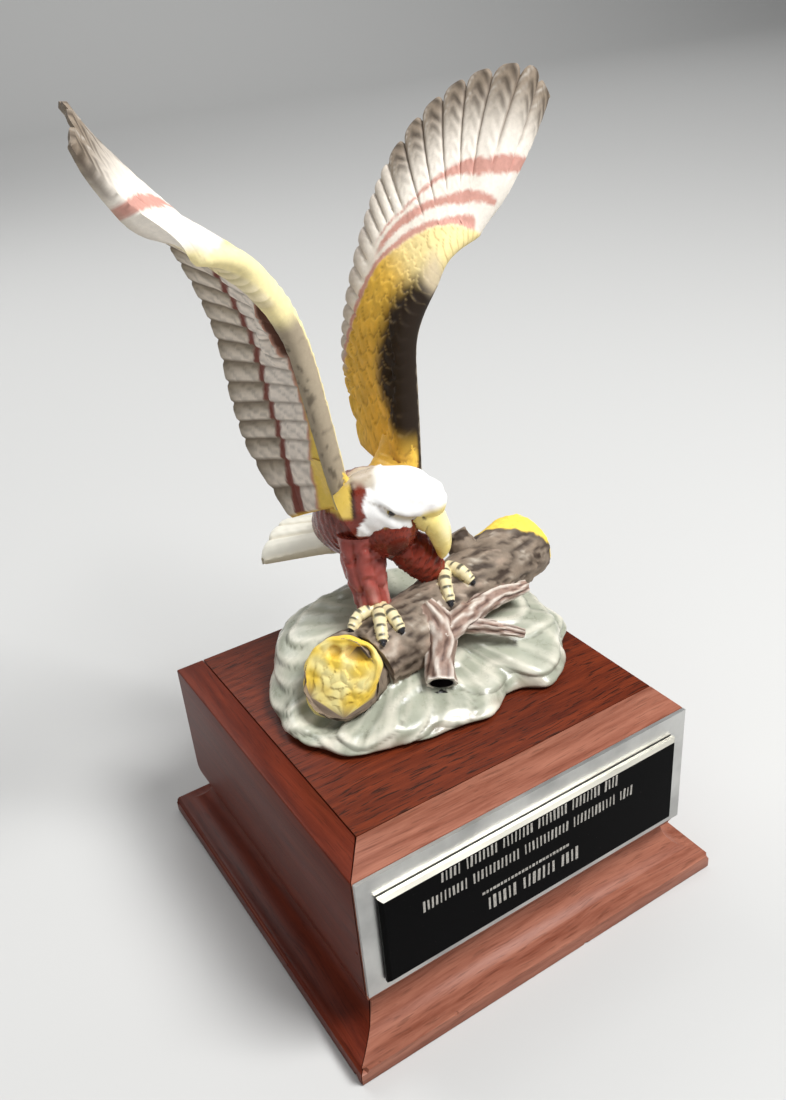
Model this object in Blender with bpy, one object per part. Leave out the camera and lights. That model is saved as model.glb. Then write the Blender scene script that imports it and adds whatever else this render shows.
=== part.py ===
"""Eagle trophy: a painted porcelain eagle on a log and rock, on a walnut plinth with two plates.

The origin is at the middle of the plinth's underside. X runs along the front to the right, Y runs
to the back and Z up. The free forms of the figurine are drawn in millimetres above the plinth's top.
"""
import math

import bmesh
import bpy
import numpy as np

MM = 0.001

# Plinth: a square block with a coved foot
PLINTH_SIDE = 102.0 * MM
PLINTH_HEIGHT = 57.0 * MM
FACE_FOOT = 22.0 * MM
NECK_DEPTH = 2.6 * MM
NECK_HEIGHT = 14.5 * MM
LIP_REACH = 7.3 * MM
LIP_HEIGHT = 4.9 * MM
LIP_STEP = 0.8 * MM
FRONT_BOARD = 11.7 * MM
LEFT_BOARD = 8.3 * MM
JOINT_GAP = 0.3 * MM

# Plates on the front face
SILVER_LENGTH = PLINTH_SIDE - 0.6 * MM
SILVER_HEIGHT = 37.2 * MM
SILVER_THICK = 1.0 * MM
BLACK_LENGTH = SILVER_LENGTH - 9.4 * MM
BLACK_HEIGHT = 27.8 * MM
BLACK_THICK = 1.8 * MM
BLACK_BEVEL = 0.9 * MM
BLACK_ABOVE_FOOT = 3.4 * MM

# Figurine: where it stands and how big it is, against the drawn forms
FIGURE_SCALE = 1.0
SEAT_GAP = 0.3 * MM
PERCH = np.array([8.0, 13.0, 0.0])
WING_HEADING = math.radians(10.0)

WALNUT_TOP = (0.19, 0.055, 0.025)
WALNUT_FACE = (0.22, 0.065, 0.035)
SILVER = (0.72, 0.72, 0.70)
BLACK = (0.012, 0.012, 0.014)
PORCELAIN = (0.62, 0.58, 0.50)


def finish(name, colour, roughness, metallic=0.0):
    """A plain Principled finish."""
    material = bpy.data.materials.new(name)
    material.use_nodes = True
    shader = material.node_tree.nodes["Principled BSDF"]
    shader.inputs["Base Color"].default_value = (*colour, 1.0)
    shader.inputs["Roughness"].default_value = roughness
    shader.inputs["Metallic"].default_value = metallic
    return material


def add_object(name, points, faces, material):
    """A closed mesh object, its faces turned outwards."""
    mesh = bpy.data.meshes.new(name)
    mesh.from_pydata([tuple(map(float, point)) for point in points], [], faces)
    shell = bmesh.new()
    shell.from_mesh(mesh)
    bmesh.ops.recalc_face_normals(shell, faces=shell.faces)
    shell.to_mesh(mesh)
    shell.free()
    mesh.materials.append(material)
    obj = bpy.data.objects.new(name, mesh)
    bpy.context.scene.collection.objects.link(obj)
    return obj


def as_guide(obj):
    """Hide a form that only shapes another one."""
    obj.hide_render = True
    obj.display_type = "WIRE"
    return obj


def combine(target, tool, operation, solver="EXACT"):
    """Cut or join with a live Boolean modifier."""
    boolean = target.modifiers.new(tool.name, "BOOLEAN")
    boolean.operation = operation
    boolean.solver = solver
    boolean.object = as_guide(tool)


def rings_to_faces(ring_count, side_count):
    """Quads between successive rings, and a fan-free cap on both ends."""
    faces = []
    for ring in range(ring_count - 1):
        for side in range(side_count):
            following = (side + 1) % side_count
            low, high = ring * side_count, (ring + 1) * side_count
            faces.append((low + side, low + following, high + following, high + side))
    faces.append(tuple(range(side_count))[::-1])
    faces.append(tuple(range((ring_count - 1) * side_count, ring_count * side_count)))
    return faces


# Plinth

def foot_profile():
    """Outward offset from the face and height, from the top down to the underside."""
    points = [(0.0, PLINTH_HEIGHT), (0.0, FACE_FOOT)]
    for step in range(1, 5):
        turn = step / 4 * math.pi / 2
        points.append((-NECK_DEPTH * (1 - math.cos(turn)),
                       FACE_FOOT - (FACE_FOOT - NECK_HEIGHT) * math.sin(turn)))
    reach = LIP_REACH - LIP_STEP + NECK_DEPTH
    drop = NECK_HEIGHT - LIP_HEIGHT - LIP_STEP
    for step in range(1, 8):
        turn = step / 7 * math.pi / 2
        points.append((-NECK_DEPTH + reach * (1 - math.cos(turn)),
                       NECK_HEIGHT - drop * math.sin(turn)))
    points.append((LIP_REACH, LIP_HEIGHT))
    points.append((LIP_REACH, 0.0))
    return points


def whole_plinth(name, material):
    """The square block with its coved foot, before it is parted into its boards."""
    points = []
    for offset, height in foot_profile():
        half = PLINTH_SIDE / 2 + offset
        points += [(-half, -half, height), (half, -half, height),
                   (half, half, height), (-half, half, height)]
    return add_object(name, points, rings_to_faces(len(points) // 4, 4), material)


def upright_prism(name, outline, material):
    """A tall prism over a plan outline, used to part the plinth into its boards."""
    below, above = -0.01, PLINTH_HEIGHT + 0.01
    points = [(x, y, below) for x, y in outline] + [(x, y, above) for x, y in outline]
    return add_object(name, points, rings_to_faces(2, len(outline)), material)


def make_plinth(top_finish, face_finish):
    """Block, front board and left board, mitred at the front left corner."""
    half = PLINTH_SIDE / 2
    outer = half + LIP_REACH + 5 * MM
    seam = JOINT_GAP / 2
    inner_x, inner_y = -half + LEFT_BOARD, -half + FRONT_BOARD
    plans = {
        "plinth_front_board": (face_finish, [
            (-outer + seam, -outer), (outer, -outer), (outer, inner_y - seam),
            (inner_x + seam, inner_y - seam), (-half + seam, -half)]),
        "plinth_left_board": (face_finish, [
            (-outer, -outer + seam), (-half, -half + seam), (inner_x - seam, inner_y + seam),
            (inner_x - seam, outer), (-outer, outer)]),
        "plinth_block": (top_finish, [
            (inner_x + seam, inner_y + seam), (outer, inner_y + seam),
            (outer, outer), (inner_x + seam, outer)]),
    }
    for name, (material, outline) in plans.items():
        board = whole_plinth(name, material)
        combine(board, upright_prism(name + "_plan", outline, material), "INTERSECT")


def make_plates(silver, black):
    """The silver backing plate and the bevelled black plate on it."""
    face = -PLINTH_SIDE / 2 - JOINT_GAP
    top = PLINTH_HEIGHT
    bottom = top - SILVER_HEIGHT
    half = SILVER_LENGTH / 2
    corners = [(-half, bottom), (half, bottom), (half, top), (-half, top)]
    front = face - SILVER_THICK
    points = [(x, y, z) for y in (face, front) for x, z in corners]
    add_object("silver_plate", points, rings_to_faces(2, 4), silver)

    back = front - JOINT_GAP
    low = bottom + BLACK_ABOVE_FOOT
    points = []
    for inset, depth in ((0.0, 0.0), (0.0, BLACK_THICK - BLACK_BEVEL), (BLACK_BEVEL, BLACK_THICK)):
        x, bottom_z, top_z = BLACK_LENGTH / 2 - inset, low + inset, low + BLACK_HEIGHT - inset
        y = back - depth
        points += [(-x, y, bottom_z), (x, y, bottom_z), (x, y, top_z), (-x, y, top_z)]
    add_object("engraved_plate", points, rings_to_faces(3, 4), black)


# Drawing the figurine

def placed(points):
    """Drawn millimetres above the plinth's top, as metres in the part's frame."""
    base = np.array([0.0, 0.0, PLINTH_HEIGHT + SEAT_GAP])
    return np.asarray(points, dtype=float) * FIGURE_SCALE * MM + base


def smooth(stations, wanted, knots=None):
    """A smooth curve through the stations, read at the wanted parameters from 0 to 1."""
    stations = np.asarray(stations, dtype=float)
    knots = np.linspace(0, 1, len(stations)) if knots is None else np.asarray(knots, dtype=float)
    slopes = np.gradient(stations, knots, axis=0)
    wanted = np.clip(np.asarray(wanted, dtype=float), knots[0], knots[-1])
    span = np.clip(np.searchsorted(knots, wanted, side="right") - 1, 0, len(knots) - 2)
    width = (knots[span + 1] - knots[span])[:, None]
    u = ((wanted - knots[span]) / width[:, 0])[:, None]
    return (stations[span] * (2 * u**3 - 3 * u**2 + 1) + slopes[span] * width * (u**3 - 2 * u**2 + u)
            + stations[span + 1] * (3 * u**2 - 2 * u**3) + slopes[span + 1] * width * (u**3 - u**2))


def unit(vectors):
    """Vectors of length one."""
    vectors = np.asarray(vectors, dtype=float)
    return vectors / np.maximum(np.linalg.norm(vectors, axis=-1, keepdims=True), 1e-9)


def limb(name, stations, rings, sides, across, material, knots=None, ripple=None):
    """A closed limb through stations of x, y, z, half width along across, and half height."""
    steps = np.linspace(0, 1, rings)
    path = smooth(stations, steps, knots)
    along = unit(np.gradient(path[:, :3], axis=0))
    wide = unit(np.asarray(across, dtype=float) - along * (along @ np.asarray(across))[:, None])
    high = np.cross(along, wide)
    angles = np.arange(sides) / sides * 2 * math.pi
    points = []
    for ring in range(rings):
        for angle in angles:
            grow = 1.0 if ripple is None else ripple(steps[ring], angle)
            points.append(path[ring, :3] + grow * (wide[ring] * math.cos(angle) * path[ring, 3]
                                                   + high[ring] * math.sin(angle) * path[ring, 4]))
    return add_object(name, placed(points), rings_to_faces(rings, sides), material)


# Wings, drawn in the eagle's own axes: side, forward and up

def eagle_frame(points):
    """From the eagle's side, forward and up to the drawing's x, y and z."""
    side = np.array([math.cos(WING_HEADING), math.sin(WING_HEADING), 0.0])
    forward = np.array([math.sin(WING_HEADING), -math.cos(WING_HEADING), 0.0])
    points = np.asarray(points, dtype=float)
    return (PERCH + points[..., :1] * side + points[..., 1:2] * forward
            + points[..., 2:] * np.array([0.0, 0.0, 1.0]))


WING_KNOTS_SPINE = (0.0, 0.45, 0.68, 0.84, 1.0)
WING_KNOTS_MARGIN = (0.0, 0.09, 0.22, 0.35, 0.46, 0.58, 0.72, 0.84, 0.93, 1.0)
LEFT_SPINE = [(44, -12, 111), (26.5, -9, 101.5), (18, -10.5, 87), (16.5, -10, 72), (13, -7, 50)]
RIGHT_SPINE = [(-44, -11.5, 123), (-28, -7.5, 112), (-19.5, -8, 97), (-17.4, -6, 81), (-13.5, -4.5, 52.5)]
LEFT_MARGIN = [(70.5, -7.5, 142), (63, -6.5, 150), (55, -21, 149), (45.5, -32, 140), (36.5, -36.5, 129),
               (28, -37.5, 116), (20, -39.5, 95), (20, -44, 78), (20, -43, 66), (16, -34, 51)]
RIGHT_MARGIN = [(-70.5, -3, 151), (-65, -13, 156), (-59, -28, 156), (-49, -38, 146), (-41, -39.5, 133),
                (-33, -38.5, 119), (-25.5, -38.5, 97), (-24, -37.5, 76), (-23, -33.5, 62), (-19.5, -24.5, 45)]
PRIMARIES = 8
SECONDARIES = 16
PRIMARY_SHARE = 0.46
ARM_RADIUS_ROOT = 3.4
ARM_RADIUS_HAND = {"left": 2.7, "right": 3.8}
ARM_RADIUS_TIP = 1.1
VANE_HALF = 0.75
HAND_BOW = {"left": 2.2, "right": -3.0}
ARM_BOW = {"left": 2.2, "right": 1.6}


def feather_columns():
    """Positions round the margin, with how far each reaches and how deep its groove is."""
    columns = []
    for index in range(PRIMARIES):
        for share, reach, groove in ((0.0, 0.945, 1.0), (0.18, 0.99, 0.2), (0.5, 1.0, 0.0), (0.82, 0.985, 0.2)):
            columns.append(((index + share) / PRIMARIES * PRIMARY_SHARE, reach, groove))
    for index in range(SECONDARIES):
        for share, reach, groove in ((0.0, 0.965, 0.8), (0.5, 1.0, 0.0)):
            spot = PRIMARY_SHARE + (index + share) / SECONDARIES * (1 - PRIMARY_SHARE)
            columns.append((spot, reach, groove))
    columns.append((1.0, 0.97, 0.0))
    columns[0] = (0.0, 1.0, 0.0)
    return np.array(columns)


def make_wing(which, spine, margin, inward, material):
    """A thick-armed wing whose outline is its row of feather tips."""
    columns = feather_columns()
    places, reach, groove = columns.T
    rows = np.array([0.0, 0.02, 0.07, 0.14, 0.2, 0.26, 0.5, 0.78, 0.96, 1.0])
    root_line = smooth(spine, places, WING_KNOTS_SPINE)
    tip_line = smooth(margin, places, WING_KNOTS_MARGIN)
    shares = rows[:, None] * reach[None, :]
    middle = root_line[None] + (tip_line - root_line)[None] * shares[..., None]
    normal = unit(np.cross(np.gradient(middle, axis=0), np.gradient(middle, axis=1)))
    normal *= np.sign((normal @ np.array([inward, 0, 0.3])).mean())
    bow = np.interp(places, [0, 0.5], [HAND_BOW[which], ARM_BOW[which]]) * np.sin(math.pi * rows)[:, None]
    middle = middle + normal * bow[..., None]
    length = np.linalg.norm(tip_line - root_line, axis=1)
    edge = unit(tip_line[0] - root_line[0])
    beside = middle - root_line[0]
    from_edge = np.linalg.norm(beside - (beside @ edge)[..., None] * edge, axis=-1)
    from_arm = shares * length[None, :]
    depth = np.minimum(from_arm, from_edge + 0.02)
    wrist = ARM_RADIUS_HAND[which]
    arm = np.interp(places, [0, 1], [wrist, ARM_RADIUS_ROOT])[None] * np.ones_like(shares)
    hand = wrist + (ARM_RADIUS_TIP - wrist) * rows[:, None]
    arm = np.where(from_edge < from_arm, hand, arm)
    round_edge = np.sqrt(np.clip(1 - (1 - np.clip(depth / arm, 0, 1))**2, 0, 1))
    fall_under = np.clip((depth / arm - 1) / 0.9, 0, 1)
    fall_over = np.clip((depth / arm - 1) / 3.5, 0, 1)
    ease = lambda share: share * share * (3 - 2 * share)
    vane = VANE_HALF - 0.3 * groove[None] * np.clip((rows[:, None] - 0.3) / 0.4, 0, 1)
    over = round_edge * (arm + (vane - arm) * ease(fall_over))
    under = round_edge * (arm + (vane - arm) * ease(fall_under))
    closed = np.ones_like(over)
    closed[[0, -1], :] = 0
    closed[:, [0, -1]] = 0
    top = middle + normal * (over * closed)[..., None]
    bottom = middle - normal * (under * closed)[..., None]
    row_count, column_count = shares.shape
    points, upper, lower = [], {}, {}
    for row in range(row_count):
        for column in range(column_count):
            upper[row, column] = len(points)
            points.append(top[row, column])
            if closed[row, column]:
                lower[row, column] = len(points)
                points.append(bottom[row, column])
            else:
                lower[row, column] = upper[row, column]
    faces = []
    for row in range(row_count - 1):
        for column in range(column_count - 1):
            corners = [(row, column), (row + 1, column), (row + 1, column + 1), (row, column + 1)]
            if not closed[corners[0]] and not closed[corners[2]]:
                corners = corners[1:] + corners[:1]
            for table in (upper, lower):
                loop = [table[corner] for corner in corners]
                faces.append((loop[0], loop[1], loop[2]))
                faces.append((loop[0], loop[2], loop[3]))
    return add_object(f"form_{which}_wing", placed(eagle_frame(points)), faces, material)


SHOULDERS = {
    "left": [(4, -14, 47, 9, 5.5), (9, -15, 49, 9, 4.2), (12.5, -15, 54, 8, 3.0), (13.5, -15, 60, 6, 1.4)],
    "right": [(-5, -14, 44, 13, 6), (-11, -16, 53, 14, 4.2), (-16, -16, 66, 10, 1.8)],
}
HEAD_MIDDLE = np.array([6.5, 8.5, 54.0])
HEAD_FORWARD = np.array([0.866, -0.5, 0.0])
HEAD_ACROSS = (0.5, 0.866, 0.0)


def head_frame(stations):
    """From forward and up in the head's profile, with two half sizes, to limb stations."""
    return [(*(HEAD_MIDDLE + forward * HEAD_FORWARD + (0, 0, up)), *sizes) for forward, up, *sizes in stations]


# Toes by root, knuckle and tip: three on the near foot, two on the far one
TOES = [
    ((-5.0, 7.2, 25.0), (-11.2, 7.4, 24.5), (-14.7, 5.8, 22.4)),
    ((-5.0, 7.2, 25.0), (-8.8, 0.6, 25.6), (-11.2, -4.2, 22.9)),
    ((-5.0, 7.2, 25.0), (-5.3, 0.2, 25.9), (-5.4, -4.0, 23.8)),
    ((18.0, 8.8, 28.2), (13.6, 2.4, 27.9), (11.9, -2.2, 24.8)),
    ((18.0, 8.8, 28.2), (19.6, 3.4, 28.6), (20.8, 0.2, 26.4)),
]
TOE_CLAW = 0.35
TAIL_ROOT = np.array([4.0, 35.0, 39.0])
TAIL_END = np.array([-4.0, 65.0, 27.8])
TAIL_ACROSS = np.array([0.93, 0.36, 0.0])
TAIL_FEATHERS = 5


def make_tail(material):
    """The arched fan of the tail, its blunt end stepped by the feather tips."""
    shares = np.linspace(-1, 1, 4 * TAIL_FEATHERS + 1)
    lobes = 1.8 * np.sqrt(np.abs(np.sin((shares + 1) / 2 * TAIL_FEATHERS * math.pi))) - 2.2 * shares**2
    along = unit(TAIL_END - TAIL_ROOT)
    points = []
    for step in (0.0, 0.35, 0.7, 1.0):
        ridge = TAIL_ROOT + (TAIL_END - TAIL_ROOT) * step
        half, sag, thick = 8 + 5.5 * step, 4 + 3.2 * step, 6.5 - 3.4 * step
        for face, order in ((0.0, 1), (1.0, -1)):
            for share, lobe in list(zip(shares, lobes))[::order]:
                points.append(ridge + TAIL_ACROSS * share * half + along * lobe * step
                              - np.array([0, 0, sag * share**2 + face * thick]))
    return add_object("form_tail", placed(points), rings_to_faces(4, 2 * len(shares)), material)


def make_figurine(material):
    """The eagle, log, branch and rock, cast in one."""
    parts = []
    # Body, from the tail's base to the chest
    parts.append(limb("form_body", [
        (3, 45, 33.5, 5, 3.5), (3.2, 40, 35.5, 9.5, 7.5), (3.6, 31, 40.5, 13, 12), (3.6, 22, 45, 13, 12.6),
        (2.5, 13, 46, 10.5, 11.4), (1.2, 6, 44.5, 7, 8.4), (0.5, 2.5, 43, 3, 4)], 12, 14, (1, 0, 0), material))
    # Neck and head, turned to the eagle's left, with its hooked beak
    parts.append(limb("form_head", head_frame([
        (-15, -4, 8, 8), (-10, -1.5, 8.2, 9.2), (-4, -1.1, 8.4, 10.4), (1, 0.2, 7.6, 8.0), (5, -0.9, 6.3, 6.0),
        (8.6, -2.4, 4.6, 4.6), (10.5, -3.0, 2.3, 2.4)]), 11, 14, HEAD_ACROSS, material))
    parts.append(limb("form_beak", head_frame([
        (3.0, -4, 4.4, 4.2), (6.1, -6.6, 4.6, 4.4), (8.0, -9.6, 4.1, 3.6), (8.9, -13.0, 3.3, 3.0),
        (9.2, -16, 2.4, 2.3), (9.0, -18.4, 1.4, 1.4), (8.9, -19.6, 0.5, 0.5)]), 9, 10, HEAD_ACROSS, material))
    parts.append(make_tail(material))
    # Legs, thighs and toes
    parts.append(limb("form_near_leg", [
        (-4, 15, 44, 6.5, 7), (-5, 13, 35, 5.8, 5.6), (-5, 10.5, 27, 4.8, 4.6), (-5, 9, 22, 4.4, 4)],
        6, 10, (1, 0, 0), material))
    parts.append(limb("form_far_leg", [
        (4.5, 13, 39.5, 4.5, 5), (9, 11, 35.5, 5.8, 6), (12.2, 9.5, 31, 5.3, 5.3), (14.6, 8.5, 26.5, 3.4, 3.4)],
        6, 10, (1, 0, 0), material))
    for number, (start, knuckle, tip) in enumerate(TOES):
        beyond = np.array(tip) + (np.array(tip) - np.array(knuckle)) * TOE_CLAW
        parts.append(limb(f"form_toe_{number}", [
            (*start, 2.0, 1.8), (*knuckle, 1.8, 1.7), (*tip, 1.4, 1.3), (*beyond, 0.3, 0.3)],
            6, 6, (0.9, 0.4, 0.1), material))
    # Wings and the shoulders that carry them
    for name, stations in SHOULDERS.items():
        stations = [(*eagle_frame(station[:3]), *station[3:]) for station in stations]
        parts.append(limb(f"form_{name}_shoulder", stations, 6, 12, (0.17, -0.98, 0), material))
    parts.append(make_wing("left", LEFT_SPINE, LEFT_MARGIN, -1, material))
    parts.append(make_wing("right", RIGHT_SPINE, RIGHT_MARGIN, 1, material))
    # Log with its oblique near end, far end and knot
    bark = lambda step, angle: 1 + 0.035 * math.sin(5 * angle + 9 * step) + 0.02 * math.sin(9 * angle - 4 * step)
    parts.append(limb("form_log", [
        (-13, 0.2, 14.2, 8.5, 9), (-9, 1.2, 15, 9.4, 9.8), (2, 3.2, 16.2, 10.0, 10.2),
        (24, 8, 19.2, 9.6, 9.8), (44, 12, 21.6, 10.2, 10), (50, 13.2, 22.2, 9.6, 9.4)], 13, 18,
        (0, 1, 0), material, ripple=bark))
    parts.append(limb("form_log_face", [
        (-9, 7, 10.5, 9, 9), (-16.5, 3.4, 11.6, 10.6, 10.8), (-22.2, -0.6, 13.2, 11.0, 11.6),
        (-23.2, -1.5, 13.9, 10.6, 11.2)], 6, 20, (0.76, -0.65, 0), material))
    parts.append(limb("form_knot", [
        (30, 11, 22, 5.4, 5.4), (28.6, 15.2, 28, 4.2, 4.2), (27.8, 17.8, 31.6, 3.2, 3.2)], 4, 8,
        (1, 0, 0), material))
    # Forked branch with its open stub
    parts.append(limb("form_trunk", [
        (0.0, -13.8, 9.2, 4.2, 3.6), (3.2, -8.6, 12.8, 4.0, 4.2), (6.4, -4.4, 19.2, 4.6, 4.2), (5.2, 0.6, 25, 2.2, 2.6)],
        7, 12, (1, 0, 0), material))
    parts.append(limb("form_upper_fork", [
        (5.5, -6, 17.5, 3.6, 3.4), (15.6, -4.2, 19.6, 3.6, 3.2), (27, -2.0, 19.6, 2.7, 2.7), (38.5, -1.6, 18.4, 1.6, 1.6)],
        7, 8, (0, 1, 0), material))
    parts.append(limb("form_lower_fork", [
        (12, -4.4, 18.6, 2.8, 2.6), (20, -8.2, 15.8, 1.9, 1.9), (28.6, -13, 12.6, 1.2, 1.2)],
        5, 8, (0, 1, 0), material))
    rock = make_rock(material)
    for form in parts:
        combine(rock, form, "UNION", "MANIFOLD")
    bore = limb("bore_of_stub", [(-0.8, -15.1, 8.3, 3.3, 2.7), (2.6, -9.6, 12.1, 2.8, 2.5)], 2, 12, (1, 0, 0),
                material)
    combine(rock, bore, "DIFFERENCE", "MANIFOLD")
    return rock


ROCK_MIDDLE = np.array([6.0, 9.0])
ROCK_OUTLINE = [(48, 4), (47, -7), (39, -15), (29, -22.5), (21, -18.5), (10, -22), (-2, -21.5), (-12, -20.5),
                (-22, -17), (-31, -12), (-36, -4), (-36.5, 8), (-32, 22), (-25, 33), (-12, 39), (6, 41),
                (24, 38), (38, 29), (46, 16)]
ROCK_RIM_LIFT = [1.15, 0.9, 0.8, 0.62, 0.5, 0.5, 0.5, 0.52, 0.6, 0.7, 0.8, 1.0, 1.3, 1.5, 1.55, 1.5, 1.45, 1.4, 1.3]
ROCK_SIDES = 44
ROCK_PROFILE = [(0.985, 0.0), (1.03, 2.2), (0.99, 5.2), (0.93, 8.4), (0.8, 11.0), (0.6, 13.0), (0.3, 14.6)]
# A dish in the rock before the log's near face
DISH_MIDDLE = (-29, -2)
DISH_REACH = (10, 9)
DISH_FLOOR = 1.5


def make_rock(material):
    """The mound under the log, low in front and high behind, with folded ledges round its rim."""
    turns = np.arange(ROCK_SIDES) / ROCK_SIDES
    outline = smooth(ROCK_OUTLINE + ROCK_OUTLINE[:1], turns)
    rim_lift = np.interp(turns * len(ROCK_RIM_LIFT), range(len(ROCK_RIM_LIFT) + 1), ROCK_RIM_LIFT + ROCK_RIM_LIFT[:1])
    points = []
    for level, (reach, height) in enumerate(ROCK_PROFILE):
        for place, lift, turn in zip(outline, rim_lift, turns * 2 * math.pi):
            fold = 0.02 * math.sin(7 * turn + 1.1 * level) + 0.015 * math.sin(12 * turn - 0.8 * level)
            fold *= 1.0 if 0 < level < 5 else 0.3
            x, y = ROCK_MIDDLE + (place - ROCK_MIDDLE) * (reach + fold)
            z = height * (1 + (lift - 1) * min(1, reach * 1.3))
            away = ((x - DISH_MIDDLE[0]) / DISH_REACH[0])**2 + ((y - DISH_MIDDLE[1]) / DISH_REACH[1])**2
            points.append((x, y, z + min(0, DISH_FLOOR - z) * math.exp(-away)))
    return add_object("eagle_figurine", placed(points), rings_to_faces(len(ROCK_PROFILE), ROCK_SIDES), material)


def main():
    for obj in list(bpy.data.objects):
        bpy.data.objects.remove(obj)
    top_finish = finish("walnut_panel", WALNUT_TOP, 0.4)
    face_finish = finish("walnut_edge", WALNUT_FACE, 0.35)
    make_plinth(top_finish, face_finish)
    make_plates(finish("silver_plate", SILVER, 0.3, 1.0), finish("black_plate", BLACK, 0.25, 0.2))
    make_figurine(finish("painted_porcelain", PORCELAIN, 0.45))


main()
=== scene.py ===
"""Looks for the eagle trophy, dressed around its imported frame, in metres."""
import math

import bmesh
import bpy
import numpy as np
from mathutils import Matrix, Vector, kdtree, noise


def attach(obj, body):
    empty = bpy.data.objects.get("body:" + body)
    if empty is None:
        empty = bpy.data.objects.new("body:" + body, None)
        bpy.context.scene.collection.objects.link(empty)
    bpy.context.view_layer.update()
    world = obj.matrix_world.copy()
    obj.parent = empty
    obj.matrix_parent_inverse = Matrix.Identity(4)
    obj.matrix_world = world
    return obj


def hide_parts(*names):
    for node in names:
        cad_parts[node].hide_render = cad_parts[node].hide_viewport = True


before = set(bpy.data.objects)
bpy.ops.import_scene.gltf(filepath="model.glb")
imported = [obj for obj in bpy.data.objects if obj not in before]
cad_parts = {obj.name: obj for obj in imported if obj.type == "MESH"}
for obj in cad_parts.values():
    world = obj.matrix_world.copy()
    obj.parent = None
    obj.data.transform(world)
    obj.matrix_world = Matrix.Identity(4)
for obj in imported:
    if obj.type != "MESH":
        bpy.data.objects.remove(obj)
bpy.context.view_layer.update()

# Plinth. Three pieces of walnut: a square block, and a front and a left board glued to it and mitred
# at the front left corner. Each is moulded along its foot, then lacquered; the corners are chipped.
MM = 0.001
SIDE, HEIGHT, FACE_FOOT = 102.0, 57.0, 22.0
NECK_DEPTH, NECK_HEIGHT = 2.6, 14.5
LIP_REACH, LIP_HEIGHT, LIP_STEP = 7.3, 4.9, 0.8
FRONT_BOARD, LEFT_BOARD, JOINT = 11.7, 8.3, 0.3


def closed_mesh(name, points, faces):
    mesh = bpy.data.meshes.new(name)
    mesh.from_pydata([tuple(map(float, point)) for point in points], [], faces)
    shell = bmesh.new()
    shell.from_mesh(mesh)
    bmesh.ops.recalc_face_normals(shell, faces=shell.faces)
    shell.to_mesh(mesh)
    shell.free()
    piece = bpy.data.objects.new(name, mesh)
    bpy.context.scene.collection.objects.link(piece)
    return piece


def loft_faces(rings, sides):
    faces = []
    for ring in range(rings - 1):
        for side in range(sides):
            after = (side + 1) % sides
            faces.append((ring * sides + side, ring * sides + after, (ring + 1) * sides + after, (ring + 1) * sides + side))
    faces.append(tuple(range(sides))[::-1])
    faces.append(tuple(range((rings - 1) * sides, rings * sides)))
    return faces


def cut_or_join(piece, tool, operation, solver="EXACT"):
    change = piece.modifiers.new(tool.name, "BOOLEAN")
    change.operation, change.solver, change.object = operation, solver, tool


def settle(piece, tools=()):
    """The finished shape as a plain mesh, and the tools gone."""
    evaluated = piece.evaluated_get(bpy.context.evaluated_depsgraph_get())
    mesh = bpy.data.meshes.new_from_object(evaluated)
    piece.modifiers.clear()
    old, piece.data = piece.data, mesh
    bpy.data.meshes.remove(old)
    for tool in tools:
        bpy.data.objects.remove(tool)
    return piece


def group_sockets(name, inputs, outputs):
    """An empty shader group with named sockets, and its two end nodes."""
    group = bpy.data.node_groups.new(name, "ShaderNodeTree")
    for socket, kind, value in inputs:
        made = group.interface.new_socket(socket, in_out="INPUT", socket_type=kind)
        if value is not None:
            made.default_value = value
    for socket, kind in outputs:
        group.interface.new_socket(socket, in_out="OUTPUT", socket_type=kind)
    return group, group.nodes.new("NodeGroupInput"), group.nodes.new("NodeGroupOutput")


def add(tree, kind, **settings):
    """A node with its settings; a key that names an input sets that input."""
    node = tree.nodes.new(kind)
    for key, value in settings.items():
        if hasattr(node, key):
            setattr(node, key, value)
        else:
            node.inputs[key.replace("_", " ")].default_value = value
    return node


def ramp(tree, factor, stops):
    node = tree.nodes.new("ShaderNodeValToRGB")
    node.color_ramp.elements.remove(node.color_ramp.elements[1])
    for index, (place, colour) in enumerate(stops):
        element = node.color_ramp.elements[0] if index == 0 else node.color_ramp.elements.new(place)
        element.position = place
        element.color = (*colour, 1.0)
    tree.links.new(factor, node.inputs["Fac"])
    return node.outputs["Color"]


def mix(tree, factor, low, high, blend="MIX"):
    node = tree.nodes.new("ShaderNodeMix")
    node.data_type, node.blend_type = "RGBA", blend
    for socket, value in ((node.inputs[0], factor), (node.inputs[6], low), (node.inputs[7], high)):
        if isinstance(value, bpy.types.NodeSocket):
            tree.links.new(value, socket)
        else:
            socket.default_value = value if isinstance(value, (int, float)) else (*value, 1.0)
    return node.outputs[2]


def maths(tree, operation, *values, clamp=False):
    node = tree.nodes.new("ShaderNodeMath")
    node.operation, node.use_clamp = operation, clamp
    for socket, value in zip(node.inputs, values):
        if isinstance(value, bpy.types.NodeSocket):
            tree.links.new(value, socket)
        else:
            socket.default_value = value
    return node.outputs[0]


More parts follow.
